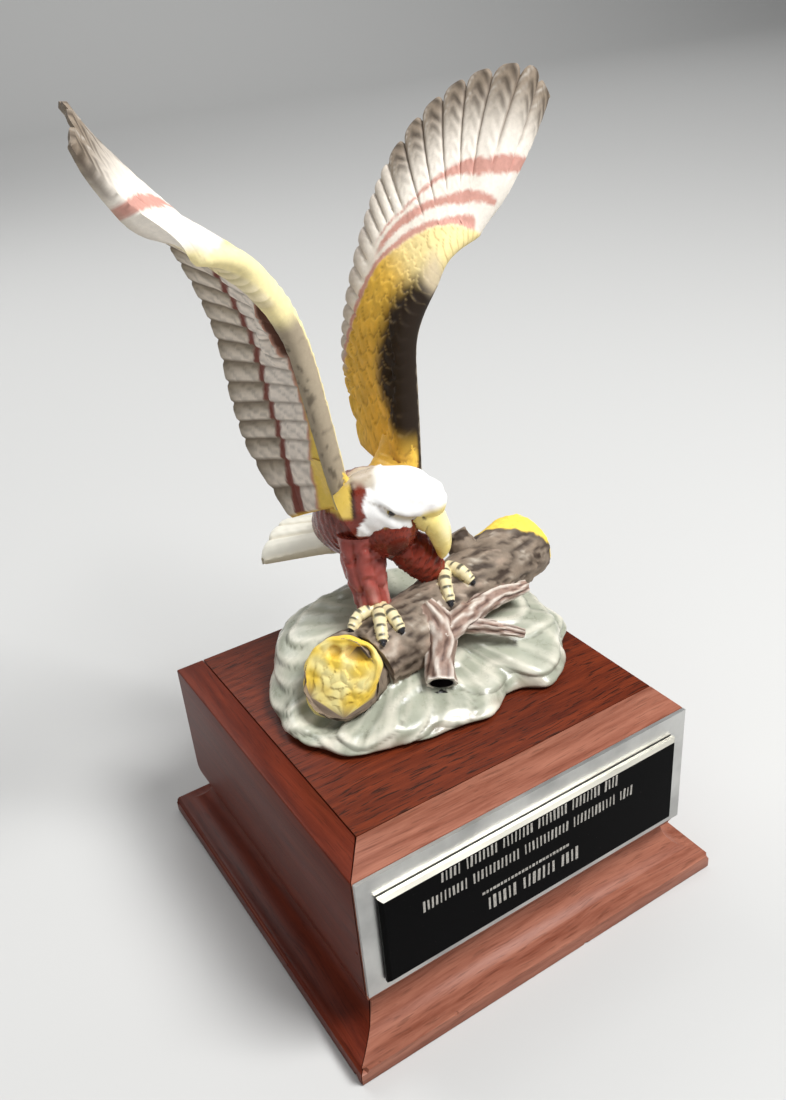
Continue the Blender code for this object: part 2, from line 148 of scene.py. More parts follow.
def walnut_group():
    """Walnut figure, dark pores and fine fibre along the mapped X axis."""
    group, start, end = group_sockets("walnut_figure", [
        ("Place", "NodeSocketVector", None), ("Dark", "NodeSocketColor", (0.05, 0.012, 0.005, 1)),
        ("Light", "NodeSocketColor", (0.2, 0.06, 0.03, 1)), ("Pores", "NodeSocketFloat", 0.6)],
        [("Colour", "NodeSocketColor"), ("Sheen Mask", "NodeSocketFloat"), ("Relief", "NodeSocketFloat")])
    link = group.links.new
    bend = add(group, "ShaderNodeTexNoise", Scale=18.0, Detail=2.0)
    link(start.outputs["Place"], bend.inputs["Vector"])
    push = group.nodes.new("ShaderNodeVectorMath")
    push.operation = "MULTIPLY_ADD"
    link(bend.outputs["Color"], push.inputs[0])
    push.inputs[1].default_value = (0.0, 0.006, 0.006)
    link(start.outputs["Place"], push.inputs[2])
    stretch = add(group, "ShaderNodeMapping", Scale=(1.0, 16.0, 16.0))
    link(push.outputs[0], stretch.inputs["Vector"])
    figure = add(group, "ShaderNodeTexNoise", Scale=26.0, Detail=6.0, Roughness=0.62)
    link(stretch.outputs[0], figure.inputs["Vector"])
    fine = add(group, "ShaderNodeMapping", Scale=(1.0, 30.0, 30.0))
    link(push.outputs[0], fine.inputs["Vector"])
    fibre = add(group, "ShaderNodeTexNoise", Scale=90.0, Detail=4.0, Roughness=0.7)
    link(fine.outputs[0], fibre.inputs["Vector"])
    pore_place = add(group, "ShaderNodeMapping", Scale=(1.0, 14.0, 14.0))
    link(push.outputs[0], pore_place.inputs["Vector"])
    pore = add(group, "ShaderNodeTexNoise", Scale=150.0, Detail=2.0, Roughness=0.5)
    link(pore_place.outputs[0], pore.inputs["Vector"])
    pore_mask = maths(group, "MULTIPLY", maths(group, "SUBTRACT", pore.outputs["Fac"], 0.56, clamp=True), 9.0, clamp=True)
    pore_mask = maths(group, "MULTIPLY", pore_mask, start.outputs["Pores"])
    tone = maths(group, "ADD", maths(group, "MULTIPLY", figure.outputs["Fac"], 0.75),
                 maths(group, "MULTIPLY", fibre.outputs["Fac"], 0.3))
    tone = maths(group, "MULTIPLY", maths(group, "SUBTRACT", tone, 0.32), 2.2, clamp=True)
    wood = mix(group, tone, start.outputs["Dark"], start.outputs["Light"])
    wood = mix(group, pore_mask, wood, (0.012, 0.004, 0.002))
    link(wood, end.inputs["Colour"])
    link(fibre.outputs["Fac"], end.inputs["Sheen Mask"])
    link(maths(group, "SUBTRACT", maths(group, "MULTIPLY", fibre.outputs["Fac"], 0.5), pore_mask), end.inputs["Relief"])
    return group


WALNUT = walnut_group()


def walnut(name, grain_turn, root_shade, light, pores, roughness):
    material = bpy.data.materials.new(name)
    material.use_nodes = True
    tree = material.node_tree
    shader = tree.nodes["Principled BSDF"]
    place = add(tree, "ShaderNodeTexCoord")
    turn = add(tree, "ShaderNodeMapping", Rotation=grain_turn)
    tree.links.new(place.outputs["Object"], turn.inputs["Vector"])
    wood = tree.nodes.new("ShaderNodeGroup")
    wood.node_tree = WALNUT
    wood.inputs["Dark"].default_value = (*root_shade, 1)
    wood.inputs["Light"].default_value = (*light, 1)
    wood.inputs["Pores"].default_value = pores
    tree.links.new(turn.outputs[0], wood.inputs["Place"])
    geometry = add(tree, "ShaderNodeNewGeometry")
    # Sharp convex edges are mixed toward a lighter, pinker walnut.
    sharp_edge_lightening = maths(tree, "MULTIPLY", maths(tree, "SUBTRACT", geometry.outputs["Pointiness"], 0.56, clamp=True), 6.0, clamp=True)
    tree.links.new(mix(tree, maths(tree, "MULTIPLY", sharp_edge_lightening, 0.35), wood.outputs["Colour"], (0.36, 0.19, 0.12)),
                   shader.inputs["Base Color"])
    gloss = maths(tree, "ADD", roughness, maths(tree, "MULTIPLY", wood.outputs["Sheen Mask"], 0.14))
    tree.links.new(gloss, shader.inputs["Roughness"])
    bump = add(tree, "ShaderNodeBump", Strength=0.35, Distance=0.00012)
    tree.links.new(wood.outputs["Relief"], bump.inputs["Height"])
    tree.links.new(bump.outputs[0], shader.inputs["Normal"])
    shader.inputs["Specular IOR Level"].default_value = 0.12
    shader.inputs["Coat Weight"].default_value = 0.05
    shader.inputs["Coat Roughness"].default_value = 0.28
    return material


def foot_profile():
    """Offset from the face and height, from the eased top edge down to the underside."""
    points = [(-0.5, HEIGHT), (-0.15, HEIGHT - 0.14), (0.0, HEIGHT - 0.5), (0.0, 40.0), (0.0, FACE_FOOT)]
    for step in range(1, 9):
        turn = step / 8 * math.pi / 2
        points.append((-NECK_DEPTH * (1 - math.cos(turn)), FACE_FOOT - (FACE_FOOT - NECK_HEIGHT) * math.sin(turn)))
    for step in range(1, 15):
        turn = step / 14 * math.pi / 2
        points.append((-NECK_DEPTH + (LIP_REACH - LIP_STEP + NECK_DEPTH) * (1 - math.cos(turn)),
                       NECK_HEIGHT - (NECK_HEIGHT - LIP_HEIGHT - LIP_STEP) * math.sin(turn)))
    points += [(LIP_REACH - 0.35, LIP_HEIGHT), (LIP_REACH, LIP_HEIGHT - 0.35), (LIP_REACH, 0.3), (LIP_REACH - 0.3, 0.0)]
    return points


def plinth_board(name, plan, chips, material):
    points = []
    for offset, height in foot_profile():
        half = SIDE / 2 + offset
        points += [(x * half * MM, y * half * MM, height * MM) for x, y in ((-1, -1), (1, -1), (1, 1), (-1, 1))]
    board = closed_mesh(name, points, loft_faces(len(points) // 4, 4))
    below = [(x * MM, y * MM, -0.01) for x, y in plan]
    prism = closed_mesh(name + "_plan", below + [(x, y, 0.07) for x, y, z in below], loft_faces(2, len(plan)))
    cut_or_join(board, prism, "INTERSECT")
    settle(board, [prism])
    ease = board.modifiers.new("eased_edges", "BEVEL")
    ease.width, ease.segments, ease.limit_method, ease.angle_limit = 0.18 * MM, 2, "ANGLE", math.radians(32)
    settle(board)
    tools = []
    for index, (x, y, z, size) in enumerate(chips):
        chip = bmesh.new()
        bmesh.ops.create_icosphere(chip, subdivisions=2, radius=size * MM)
        for vertex in chip.verts:
            rough = 1 + 0.35 * noise.noise(vertex.co / (0.8 * MM) + Vector((index * 7.3, 0, 0)))
            vertex.co = vertex.co * rough + Vector((x, y, z)) * MM
        mesh = bpy.data.meshes.new("chip")
        chip.to_mesh(mesh)
        chip.free()
        tool = bpy.data.objects.new(f"{name}_chip_{index}", mesh)
        bpy.context.scene.collection.objects.link(tool)
        tools.append(tool)
        cut_or_join(board, tool, "DIFFERENCE")
    settle(board, tools)
    board.data.materials.clear()
    board.data.materials.append(material)
    board.data.shade_smooth()
    board.data.set_sharp_from_angle(angle=math.radians(28))
    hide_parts(name.replace("moulded_", "plinth_"))
    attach(board, "root")
    return board


half, outer = SIDE / 2, SIDE / 2 + LIP_REACH + 5
inner_x, inner_y, seam = -SIDE / 2 + LEFT_BOARD, -SIDE / 2 + FRONT_BOARD, JOINT / 2
lip = SIDE / 2 + LIP_REACH
panel_walnut = walnut("walnut_panel", (0, 0, 0), (0.05, 0.006, 0.002), (0.20, 0.034, 0.010), 0.85, 0.38)
# The front board's walnut is much lighter and pinker than the left board's: the lamps' sheen on its lacquer, painted in
# as a highlight.
front_walnut_painted_highlight = walnut("walnut_front_edge_painted_highlight", (0, 0, 0), (0.17, 0.045, 0.024), (0.42, 0.175, 0.115), 0.3, 0.34)
left_walnut = walnut("walnut_left_edge", (0, 0, math.radians(90)), (0.055, 0.006, 0.002), (0.16, 0.026, 0.010), 0.3, 0.34)
plinth_board("moulded_front_board", [
    (-outer + seam, -outer), (outer, -outer), (outer, inner_y - seam), (inner_x + seam, inner_y - seam),
    (-half + seam, -half)],
    [(-lip + 1.2, -lip - 0.3, 4.6, 1.3), (-lip + 5.5, -lip - 0.5, 5.1, 0.9), (-30.2, -lip - 0.4, 5.0, 1.0),
     (lip + 0.3, -lip - 0.2, 4.6, 1.3), (12.0, -lip - 0.6, 0.2, 1.1), (-half + 1.0, -half - 0.5, 41.0, 0.7)],
    front_walnut_painted_highlight)
plinth_board("moulded_left_board", [
    (-outer, -outer + seam), (-half, -half + seam), (inner_x - seam, inner_y + seam), (inner_x - seam, outer),
    (-outer, outer)],
    [(-lip - 0.3, lip - 1.0, 4.4, 1.4), (-lip - 0.4, -20.0, 5.0, 0.9), (-half - 0.4, -half + 1.6, 33.0, 0.7),
     (-lip - 0.5, -lip + 3.0, 0.4, 1.2)],
    left_walnut)
plinth_board("moulded_block", [
    (inner_x + seam, inner_y + seam), (outer, inner_y + seam), (outer, outer), (inner_x + seam, outer)],
    [(lip + 0.2, lip + 0.1, 4.6, 1.2), (half + 0.3, 20.0, 56.8, 0.6)],
    panel_walnut)

# Plates. A thin satin silver sheet is stuck to the front board, and on it a thicker black plate with
# bevelled edges; only the upward-facing bevel is pale metal: the black cut through, with a painted highlight.
SILVER_FRONT = -SIDE / 2 - JOINT - 1.0
BLACK_FRONT = SILVER_FRONT - JOINT - 1.8


def brushed_silver():
    material = bpy.data.materials.new("satin_silver_sheet")
    material.use_nodes = True
    tree = material.node_tree
    shader = tree.nodes["Principled BSDF"]
    place = add(tree, "ShaderNodeTexCoord")
    stretch = add(tree, "ShaderNodeMapping", Scale=(0.03, 1.0, 1.0))
    tree.links.new(place.outputs["Object"], stretch.inputs["Vector"])
    lines = add(tree, "ShaderNodeTexNoise", Scale=4200.0, Detail=3.0, Roughness=0.6)
    tree.links.new(stretch.outputs[0], lines.inputs["Vector"])
    stain = add(tree, "ShaderNodeTexNoise", Scale=70.0, Detail=4.0)
    tree.links.new(place.outputs["Object"], stain.inputs["Vector"])
    tree.links.new(ramp(tree, stain.outputs["Fac"], [(0.3, (0.42, 0.42, 0.41)), (0.6, (0.62, 0.62, 0.60))]),
                   shader.inputs["Base Color"])
    tree.links.new(maths(tree, "ADD", 0.26, maths(tree, "MULTIPLY", lines.outputs["Fac"], 0.2)),
                   shader.inputs["Roughness"])
    bump = add(tree, "ShaderNodeBump", Strength=0.1, Distance=0.00005)
    tree.links.new(lines.outputs["Fac"], bump.inputs["Height"])
    tree.links.new(bump.outputs[0], shader.inputs["Normal"])
    shader.inputs["Metallic"].default_value = 1.0
    return material


def bevelled_black():
    material = bpy.data.materials.new("black_plate_gloss")
    material.use_nodes = True
    tree = material.node_tree
    shader = tree.nodes["Principled BSDF"]
    place = add(tree, "ShaderNodeTexCoord")
    parts = add(tree, "ShaderNodeSeparateXYZ")
    tree.links.new(place.outputs["Object"], parts.inputs[0])
    bevel = maths(tree, "GREATER_THAN", parts.outputs["Y"], (BLACK_FRONT + 0.04) * MM)
    geometry = add(tree, "ShaderNodeNewGeometry")
    facing = add(tree, "ShaderNodeSeparateXYZ")
    tree.links.new(geometry.outputs["Normal"], facing.inputs[0])
    # Only the bevel faces pointing up are made pale metal: bare metal with a painted highlight on it.
    top_bevel_metal_highlight = maths(tree, "MULTIPLY", bevel, maths(tree, "GREATER_THAN", facing.outputs["Z"], 0.3))
    dust = add(tree, "ShaderNodeTexNoise", Scale=2600.0, Detail=2.0)
    tree.links.new(place.outputs["Object"], dust.inputs["Vector"])
    specks = maths(tree, "MULTIPLY", maths(tree, "SUBTRACT", dust.outputs["Fac"], 0.74, clamp=True), 8.0, clamp=True)
    lacquer = mix(tree, specks, (0.002, 0.002, 0.0022), (0.10, 0.09, 0.08))
    tree.links.new(mix(tree, top_bevel_metal_highlight, lacquer, (0.62, 0.60, 0.52)), shader.inputs["Base Color"])
    smear = add(tree, "ShaderNodeTexNoise", Scale=55.0, Detail=3.0)
    tree.links.new(place.outputs["Object"], smear.inputs["Vector"])
    tree.links.new(maths(tree, "ADD", 0.24, maths(tree, "MULTIPLY", smear.outputs["Fac"], 0.16)), shader.inputs["Roughness"])
    tree.links.new(maths(tree, "MULTIPLY", top_bevel_metal_highlight, 0.8), shader.inputs["Metallic"])
    shader.inputs["Specular IOR Level"].default_value = 0.02
    return material


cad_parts["silver_plate"].data.materials.clear()
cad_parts["silver_plate"].data.materials.append(brushed_silver())
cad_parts["engraved_plate"].data.materials.clear()
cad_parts["engraved_plate"].data.materials.append(bevelled_black())

# Engraving. Rows of shallow pale strokes with no letters in them: two long rows, a rule of small
# marks and one taller row. Each stroke is a low bar set on the black face.


def stroke_row(name, left, right, middle, stroke_height, stroke_width, pitch, lean, group_of, seed, material):
    tree = bpy.data.node_groups.new(name + "_strokes", "GeometryNodeTree")
    tree.interface.new_socket("Geometry", in_out="OUTPUT", socket_type="NodeSocketGeometry")
    wanted = {"Length": (right - left) * MM, "Pitch": pitch * MM, "Stroke Width": stroke_width * MM,
              "Stroke Height": stroke_height * MM, "Lean": lean}
    identifiers = {}
    for socket in wanted:
        made = tree.interface.new_socket(socket, in_out="INPUT", socket_type="NodeSocketFloat")
        identifiers[socket] = made.identifier
    start, end = tree.nodes.new("NodeGroupInput"), tree.nodes.new("NodeGroupOutput")
    link = tree.links.new
    count = maths(tree, "DIVIDE", start.outputs["Length"], start.outputs["Pitch"])
    line = add(tree, "GeometryNodeMeshLine", mode="OFFSET")
    link(count, line.inputs["Count"])
    step = tree.nodes.new("ShaderNodeCombineXYZ")
    link(start.outputs["Pitch"], step.inputs["X"])
    link(step.outputs[0], line.inputs["Offset"])
    bar_size = tree.nodes.new("ShaderNodeCombineXYZ")
    link(start.outputs["Stroke Width"], bar_size.inputs["X"])
    bar_size.inputs["Y"].default_value = 0.1 * MM
    link(start.outputs["Stroke Height"], bar_size.inputs["Z"])
    bar = tree.nodes.new("GeometryNodeMeshCube")
    link(bar_size.outputs[0], bar.inputs["Size"])
    chance = tree.nodes.new("FunctionNodeRandomValue")
    chance.data_type = "FLOAT"
    chance.inputs["Seed"].default_value = seed
    turn = tree.nodes.new("ShaderNodeCombineXYZ")
    swing = maths(tree, "MULTIPLY", maths(tree, "SUBTRACT", chance.outputs[1], 0.5), start.outputs["Lean"])
    link(swing, turn.inputs["Y"])
    sizes = tree.nodes.new("FunctionNodeRandomValue")
    sizes.data_type = "FLOAT_VECTOR"
    sizes.inputs[0].default_value = (0.8, 1.0, 0.82)
    sizes.inputs[1].default_value = (1.5, 1.0, 1.0)
    sizes.inputs["Seed"].default_value = seed + 1
    number = tree.nodes.new("GeometryNodeInputIndex")
    in_group = maths(tree, "MODULO", maths(tree, "ADD", number.outputs[0], float(seed % 5)), group_of)
    shown = maths(tree, "LESS_THAN", in_group, group_of - 1.5)
    spread = tree.nodes.new("GeometryNodeInstanceOnPoints")
    link(line.outputs[0], spread.inputs["Points"])
    link(shown, spread.inputs["Selection"])
    link(bar.outputs[0], spread.inputs["Instance"])
    link(turn.outputs[0], spread.inputs["Rotation"])
    link(sizes.outputs[0], spread.inputs["Scale"])
    real = tree.nodes.new("GeometryNodeRealizeInstances")
    link(spread.outputs[0], real.inputs[0])
    shift = tree.nodes.new("GeometryNodeTransform")
    shift.inputs["Translation"].default_value = ((left + pitch / 2) * MM, (BLACK_FRONT - 0.02) * MM, middle * MM)
    link(real.outputs[0], shift.inputs[0])
    finish = tree.nodes.new("GeometryNodeSetMaterial")
    finish.inputs["Material"].default_value = material
    link(shift.outputs[0], finish.inputs[0])
    link(finish.outputs[0], end.inputs[0])
    row = bpy.data.objects.new(name, bpy.data.meshes.new(name))
    bpy.context.scene.collection.objects.link(row)
    rule = row.modifiers.new("strokes", "NODES")
    rule.node_group = tree
    for socket, value in wanted.items():
        rule[identifiers[socket]] = value
    settle(row)
    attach(row, "root")


def engraved_pale():
    material = bpy.data.materials.new("engraved_metal")
    material.use_nodes = True
    tree = material.node_tree
    shader = tree.nodes["Principled BSDF"]
    place = add(tree, "ShaderNodeTexCoord")
    grain = add(tree, "ShaderNodeTexNoise", Scale=3000.0, Detail=2.0)
    tree.links.new(place.outputs["Object"], grain.inputs["Vector"])
    tree.links.new(ramp(tree, grain.outputs["Fac"], [(0.35, (0.30, 0.28, 0.25)), (0.65, (0.52, 0.50, 0.46))]),
                   shader.inputs["Base Color"])
    shader.inputs["Roughness"].default_value = 0.5
    shader.inputs["Metallic"].default_value = 0.3
    return material


pale = engraved_pale()
stroke_row("engraving_first_row", -29.8, 26.0, 48.2, 3.5, 0.42, 1.2, 0.10, 9, 3, pale)
stroke_row("engraving_second_row", -35.3, 31.2, 42.1, 3.5, 0.42, 1.2, 0.10, 13, 11, pale)
stroke_row("engraving_rule", -18.3, 10.2, 35.4, 0.9, 0.62, 1.1, 0.0, 40, 20, pale)
stroke_row("engraving_name_row", -16.9, 13.6, 31.0, 4.6, 0.6, 1.55, 0.08, 8, 31, pale)

# Figurine. The eagle, log, branch and rock are one slip-cast porcelain piece, matt from the kiln and
# painted by hand. Each form below is drawn in millimetres above the plinth's top, with its paint.
SEAT_GAP = 0.3
PERCH = np.array([8.0, 13.0, 0.0])
WING_HEADING = math.radians(10.0)
FINISHES = ["feather_paint", "bisque_white", "maroon_glaze", "bark_paint", "petal_paint", "rock_glaze", "claw_black"]
painted_forms = []


def smooth(stations, wanted, knots=None):
    stations = np.asarray(stations, dtype=float)
    knots = np.linspace(0, 1, len(stations)) if knots is None else np.asarray(knots, dtype=float)
    slopes = np.gradient(stations, knots, axis=0)
    wanted = np.clip(np.asarray(wanted, dtype=float), knots[0], knots[-1])
    span = np.clip(np.searchsorted(knots, wanted, side="right") - 1, 0, len(knots) - 2)
    width = (knots[span + 1] - knots[span])[:, None]
    u = ((wanted - knots[span]) / width[:, 0])[:, None]
    return (stations[span] * (2 * u**3 - 3 * u**2 + 1) + slopes[span] * width * (u**3 - 2 * u**2 + u)
            + stations[span + 1] * (3 * u**2 - 2 * u**3) + slopes[span + 1] * width * (u**3 - u**2))


def unit(vectors):
    return vectors / np.maximum(np.linalg.norm(vectors, axis=-1, keepdims=True), 1e-9)


def ease(low, high, value):
    share = np.clip((value - low) / (high - low), 0, 1)
    return share * share * (3 - 2 * share)


def line_at(place, table):
    """The height of a drawn line at each place along it."""
    return np.interp(place, [row[0] for row in table], [row[1] for row in table])


def blend(base, colour, weight):
    return base + (np.asarray(colour, dtype=float) - base) * np.asarray(weight)[..., None]


def mottle(points, size, seed):
    """Smooth noise from -1 to 1 at each point, for features of that size in millimetres."""
    shift = Vector((seed * 3.1, seed * 5.7, seed * 1.3))
    flat = np.asarray(points, dtype=float).reshape(-1, 3) / size
    return np.array([noise.noise(Vector(point) + shift) for point in flat]).reshape(np.shape(points)[:-1])


def clay(name, points, faces, colours, gloss, finish):
    """A closed form of the figurine, with its paint kept for the joined piece."""
    placed = np.asarray(points, dtype=float).reshape(-1, 3) * MM + [0, 0, (HEIGHT + SEAT_GAP) * MM]
    form = closed_mesh(name, placed, faces)
    count = len(placed)
    painted_forms.append({
        "form": form, "points": placed, "colours": np.broadcast_to(colours, (count, 3)).copy(),
        "gloss": np.broadcast_to(gloss, (count,)).copy(), "finish": np.full(count, FINISHES.index(finish))})
    return form


def limb_points(stations, rings, sides, across, relief=None):
    """Rings round a curved path: the points, their share along, their angle and their way out."""
    along_share = np.linspace(0, 1, rings)
    path = smooth(stations, along_share)
    along = unit(np.gradient(path[:, :3], axis=0))
    across = np.asarray(across, dtype=float)
    wide = unit(across - along * (along @ across)[:, None])
    high = np.cross(along, wide)
    angle = np.arange(sides) / sides * 2 * math.pi
    share, turn = np.meshgrid(along_share, angle, indexing="ij")
    out = wide[:, None] * np.cos(turn)[..., None] * path[:, None, 3:4] + high[:, None] * np.sin(turn)[..., None] * path[:, None, 4:5]
    points = path[:, None, :3] + out
    if relief is not None:
        points = points + unit(out) * relief(share, turn, points)[..., None]
    return points, share, turn


def painted_limb(name, stations, rings, sides, across, finish, paint, relief=None):
    points, share, turn = limb_points(stations, rings, sides, across, relief)
    colours, gloss = paint(share, turn, points)
    gloss = np.broadcast_to(gloss, share.shape)
    return clay(name, points, loft_faces(rings, sides), colours.reshape(-1, 3), gloss.reshape(-1), finish)


def plain_paint(colour, gloss, spread=0.06, size=3.0, seed=1):
    def paint(share, turn, points):
        tone = 1 + spread * mottle(points, size, seed)
        return np.asarray(colour) * tone[..., None], np.full(share.shape, gloss)
    return paint


# Rock. A low mound of folded ledges in celadon glaze, off-white on every ridge.
ROCK_MIDDLE = np.array([6.0, 9.0])
ROCK_OUTLINE = [(48, 4), (47, -7), (39, -15), (29, -22.5), (21, -18.5), (10, -22), (-2, -21.5), (-12, -20.5),
                (-22, -17), (-31, -12), (-36, -4), (-36.5, 8), (-32, 22), (-25, 33), (-12, 39), (6, 41),
                (24, 38), (38, 29), (46, 16)]
ROCK_RIM_LIFT = [1.15, 0.9, 0.8, 0.62, 0.5, 0.5, 0.5, 0.52, 0.6, 0.7, 0.8, 1.0, 1.3, 1.5, 1.55, 1.5, 1.45, 1.4, 1.3]
ROCK_PROFILE = [(0.985, 0.0), (1.03, 2.2), (0.99, 5.2), (0.93, 8.4), (0.8, 11.0), (0.6, 13.0), (0.3, 14.6)]
DISH_MIDDLE, DISH_REACH, DISH_FLOOR = (-29, -2), (10, 9), 1.5
CELADON = np.array([0.35, 0.365, 0.285])
RIDGE_WHITE = np.array([0.82, 0.78, 0.66])


def rock_form():
    sides, rings = 186, 52
    turns = np.arange(sides) / sides
    outline = smooth(ROCK_OUTLINE + ROCK_OUTLINE[:1], turns)
    lift = np.interp(turns * len(ROCK_RIM_LIFT), range(len(ROCK_RIM_LIFT) + 1), ROCK_RIM_LIFT + ROCK_RIM_LIFT[:1])
    profile = smooth(ROCK_PROFILE, np.linspace(0, 1, rings))
    level = np.linspace(0, len(ROCK_PROFILE) - 1, rings)[:, None]
    angle = turns * 2 * math.pi
    fold = 0.02 * np.sin(7 * angle + 1.1 * level) + 0.015 * np.sin(12 * angle - 0.8 * level)
    fold *= np.interp(level, [0, 0.6, 4.6, 5.2], [0.3, 1.0, 1.0, 0.3])
    reach = profile[:, :1] + fold
    flat = ROCK_MIDDLE + (outline[None] - ROCK_MIDDLE) * reach[..., None]
    height = profile[:, 1:] * (1 + (lift - 1) * np.minimum(1, reach * 1.3))
    away = ((flat[..., 0] - DISH_MIDDLE[0]) / DISH_REACH[0])**2 + ((flat[..., 1] - DISH_MIDDLE[1]) / DISH_REACH[1])**2
    height = height + np.minimum(0, DISH_FLOOR - height) * np.exp(-away)
    points = np.concatenate([flat, height[..., None]], axis=-1)
    normal = unit(np.cross(np.roll(points, -1, 1) - np.roll(points, 1, 1), np.gradient(points, axis=0)))
    normal *= np.sign((normal[..., 2:]).mean())
    drift = mottle(points, 17, 4)
    lobe = np.abs(np.sin(6.5 * angle + 1.6 * drift + 0.25 * level))**0.7
    ledge = height / 3.9 + 1.3 * mottle(points * [1, 1, 0.3], 19, 11) + 0.22 * np.sin(5 * angle)
    ledge = ledge - np.floor(ledge)
    fan = np.abs(np.sin(15 * angle + 2.2 * drift + 0.6 * level))
    tread = ease(0.0, 0.16, ledge) - ledge
    low = ease(0.35, 1.2, level) * ease(6.0, 5.0, level)
    relief = low * (0.75 * (lobe - 0.6) * ease(5.2, 2.8, level) + 0.8 * tread + 0.22 * (fan - 0.5) + 0.12 * mottle(points, 2.6, 3))
    points = points + normal * relief[..., None]
    points[..., 2] = np.maximum(points[..., 2], 0)
    points[0, :, 2] = 0
    pale = ease(0.10, 0.26, ledge) * ease(0.62, 0.34, ledge) * (0.55 + 0.45 * mottle(points, 7, 6))
    pale = np.clip(pale + 0.75 * ease(0.86, 1.0, lobe) * ease(4.0, 1.5, level) + 0.3 * ease(0.8, 1.0, fan), 0, 1) * low
    tone = 1 + 0.12 * mottle(points, 9, 7)[..., None]
    colours = blend(CELADON * tone, RIDGE_WHITE, 0.8 * pale)
    # Darker grey in the ledge creases and lobe hollows, and painted shade along the foot where the rock meets the
    # plinth.
    crease_dark_and_foot_shade = ease(0.09, 0.0, ledge) * 0.7 + ease(0.3, 0.0, lobe) * ease(4.5, 2.0, level) * 0.8
    colours = blend(colours, (0.16, 0.16, 0.12), np.clip(crease_dark_and_foot_shade * low + 0.5 * ease(1.2, 0.1, points[..., 2]), 0, 0.85))
    front = ease(-0.15, 0.35, mottle(points, 8, 15)) * ease(-4, -12, points[..., 1]) * ease(5, 1.5, points[..., 2])
    colours = blend(colours, (0.24, 0.17, 0.12), 0.6 * front)
    return clay("figurine_rock", points, loft_faces(rings, sides), colours.reshape(-1, 3), 0.3, "rock_glaze")


rock = rock_form()

# Log. A fallen trunk across the rock, bark deeply ridged; its near end is broken open in a yellow
# flower-like face, the far end shows a yellow rim, and a stump of a limb stands on it.
BARK_DARK, BARK_GREY = np.array([0.055, 0.038, 0.028]), np.array([0.23, 0.18, 0.135])
BARK_PINK = np.array([0.40, 0.30, 0.23])
YELLOW, AMBER = np.array([0.90, 0.64, 0.09]), np.array([0.50, 0.22, 0.012])


def bark_ridges(points):
    """1 on a bark ridge and below 0 in a furrow; the furrows wander along the log."""
    bent = points + 1.3 * np.stack([mottle(points, 4.5, seed) for seed in (21, 22, 23)], axis=-1)
    coarse = 1 - 2.6 * np.abs(mottle(bent * [0.3, 1, 1], 2.9, 6))
    fine = 1 - 2.4 * np.abs(mottle(bent * [0.4, 1, 1], 1.5, 26))
    return 0.6 * coarse + 0.4 * fine


def bark_relief(depth):
    def relief(share, turn, points):
        return depth * (bark_ridges(points) - 0.35) + 0.7 * depth * mottle(points, 6, 8)
    return relief


def bark_paint(pink):
    def paint(share, turn, points):
        ridge = bark_ridges(points)
        tone = 1 + 0.35 * mottle(points, 4, 2)[..., None]
        colours = blend(BARK_GREY * tone, BARK_DARK, ease(0.45, -0.05, ridge))
        patch = ease(-0.1, 0.3, mottle(points, 8, 12)) * ease(0.35, 0.8, ridge)
        colours = blend(colours, BARK_PINK, pink * patch)
        lint = ease(0.1, 0.45, mottle(points, 5, 33)) * ease(0.4, 0.9, ridge) * ease(8, 16, points[..., 2])
        colours = blend(colours, (0.62, 0.56, 0.47), 0.55 * lint)
        cut = 0.62 * points[..., 0] + 0.72 * points[..., 1] + 0.3 * points[..., 2] - 42.5 + 0.8 * mottle(points, 3, 18)
        colours = blend(colours, BARK_DARK, ease(-3.0, -0.5, cut) * 0.7)
        return blend(colours, YELLOW, ease(-0.3, 0.3, cut)), np.full(share.shape, 0.62)
    return paint


painted_limb("figurine_log", [
    (-13, 0.2, 14.2, 8.5, 9), (-9, 1.2, 15, 9.4, 9.8), (2, 3.2, 16.2, 10.0, 10.2),
    (24, 8, 19.2, 9.6, 9.8), (44, 12, 21.6, 10.2, 10), (50, 13.2, 22.2, 9.6, 9.4)], 114, 74, (0, 1, 0), "bark_paint",
    bark_paint(0.8), bark_relief(0.7))
painted_limb("figurine_knot", [
    (30, 11, 22, 5.4, 5.4), (28.6, 15.2, 28, 4.2, 4.2), (27.8, 17.8, 31.6, 3.2, 3.2)], 36, 40, (1, 0, 0), "bark_paint",
    bark_paint(0.5), bark_relief(0.45))
painted_limb("figurine_log_collar", [
    (-9, 7, 10.5, 9, 9), (-16.5, 3.4, 11.6, 10.6, 10.8), (-22.2, -0.6, 13.2, 10.4, 11.0), (-23.2, -1.5, 13.9, 9.6, 10.2)],
    36, 76, (0.76, -0.65, 0), "bark_paint", bark_paint(0.3), bark_relief(0.5))
# The near face's outline: how far it reaches at each turn, clockwise from the top as one faces it
SHELL_OUTLINE = [(0, 1.08), (22, 1.1), (45, 1.14), (67, 1.08), (90, 0.88), (120, 0.78), (150, 0.82), (180, 0.92),
                 (200, 1.02), (215, 1.14), (230, 1.08), (250, 1.0), (270, 0.97), (290, 1.0), (310, 1.0), (345, 1.05), (360, 1.08)]


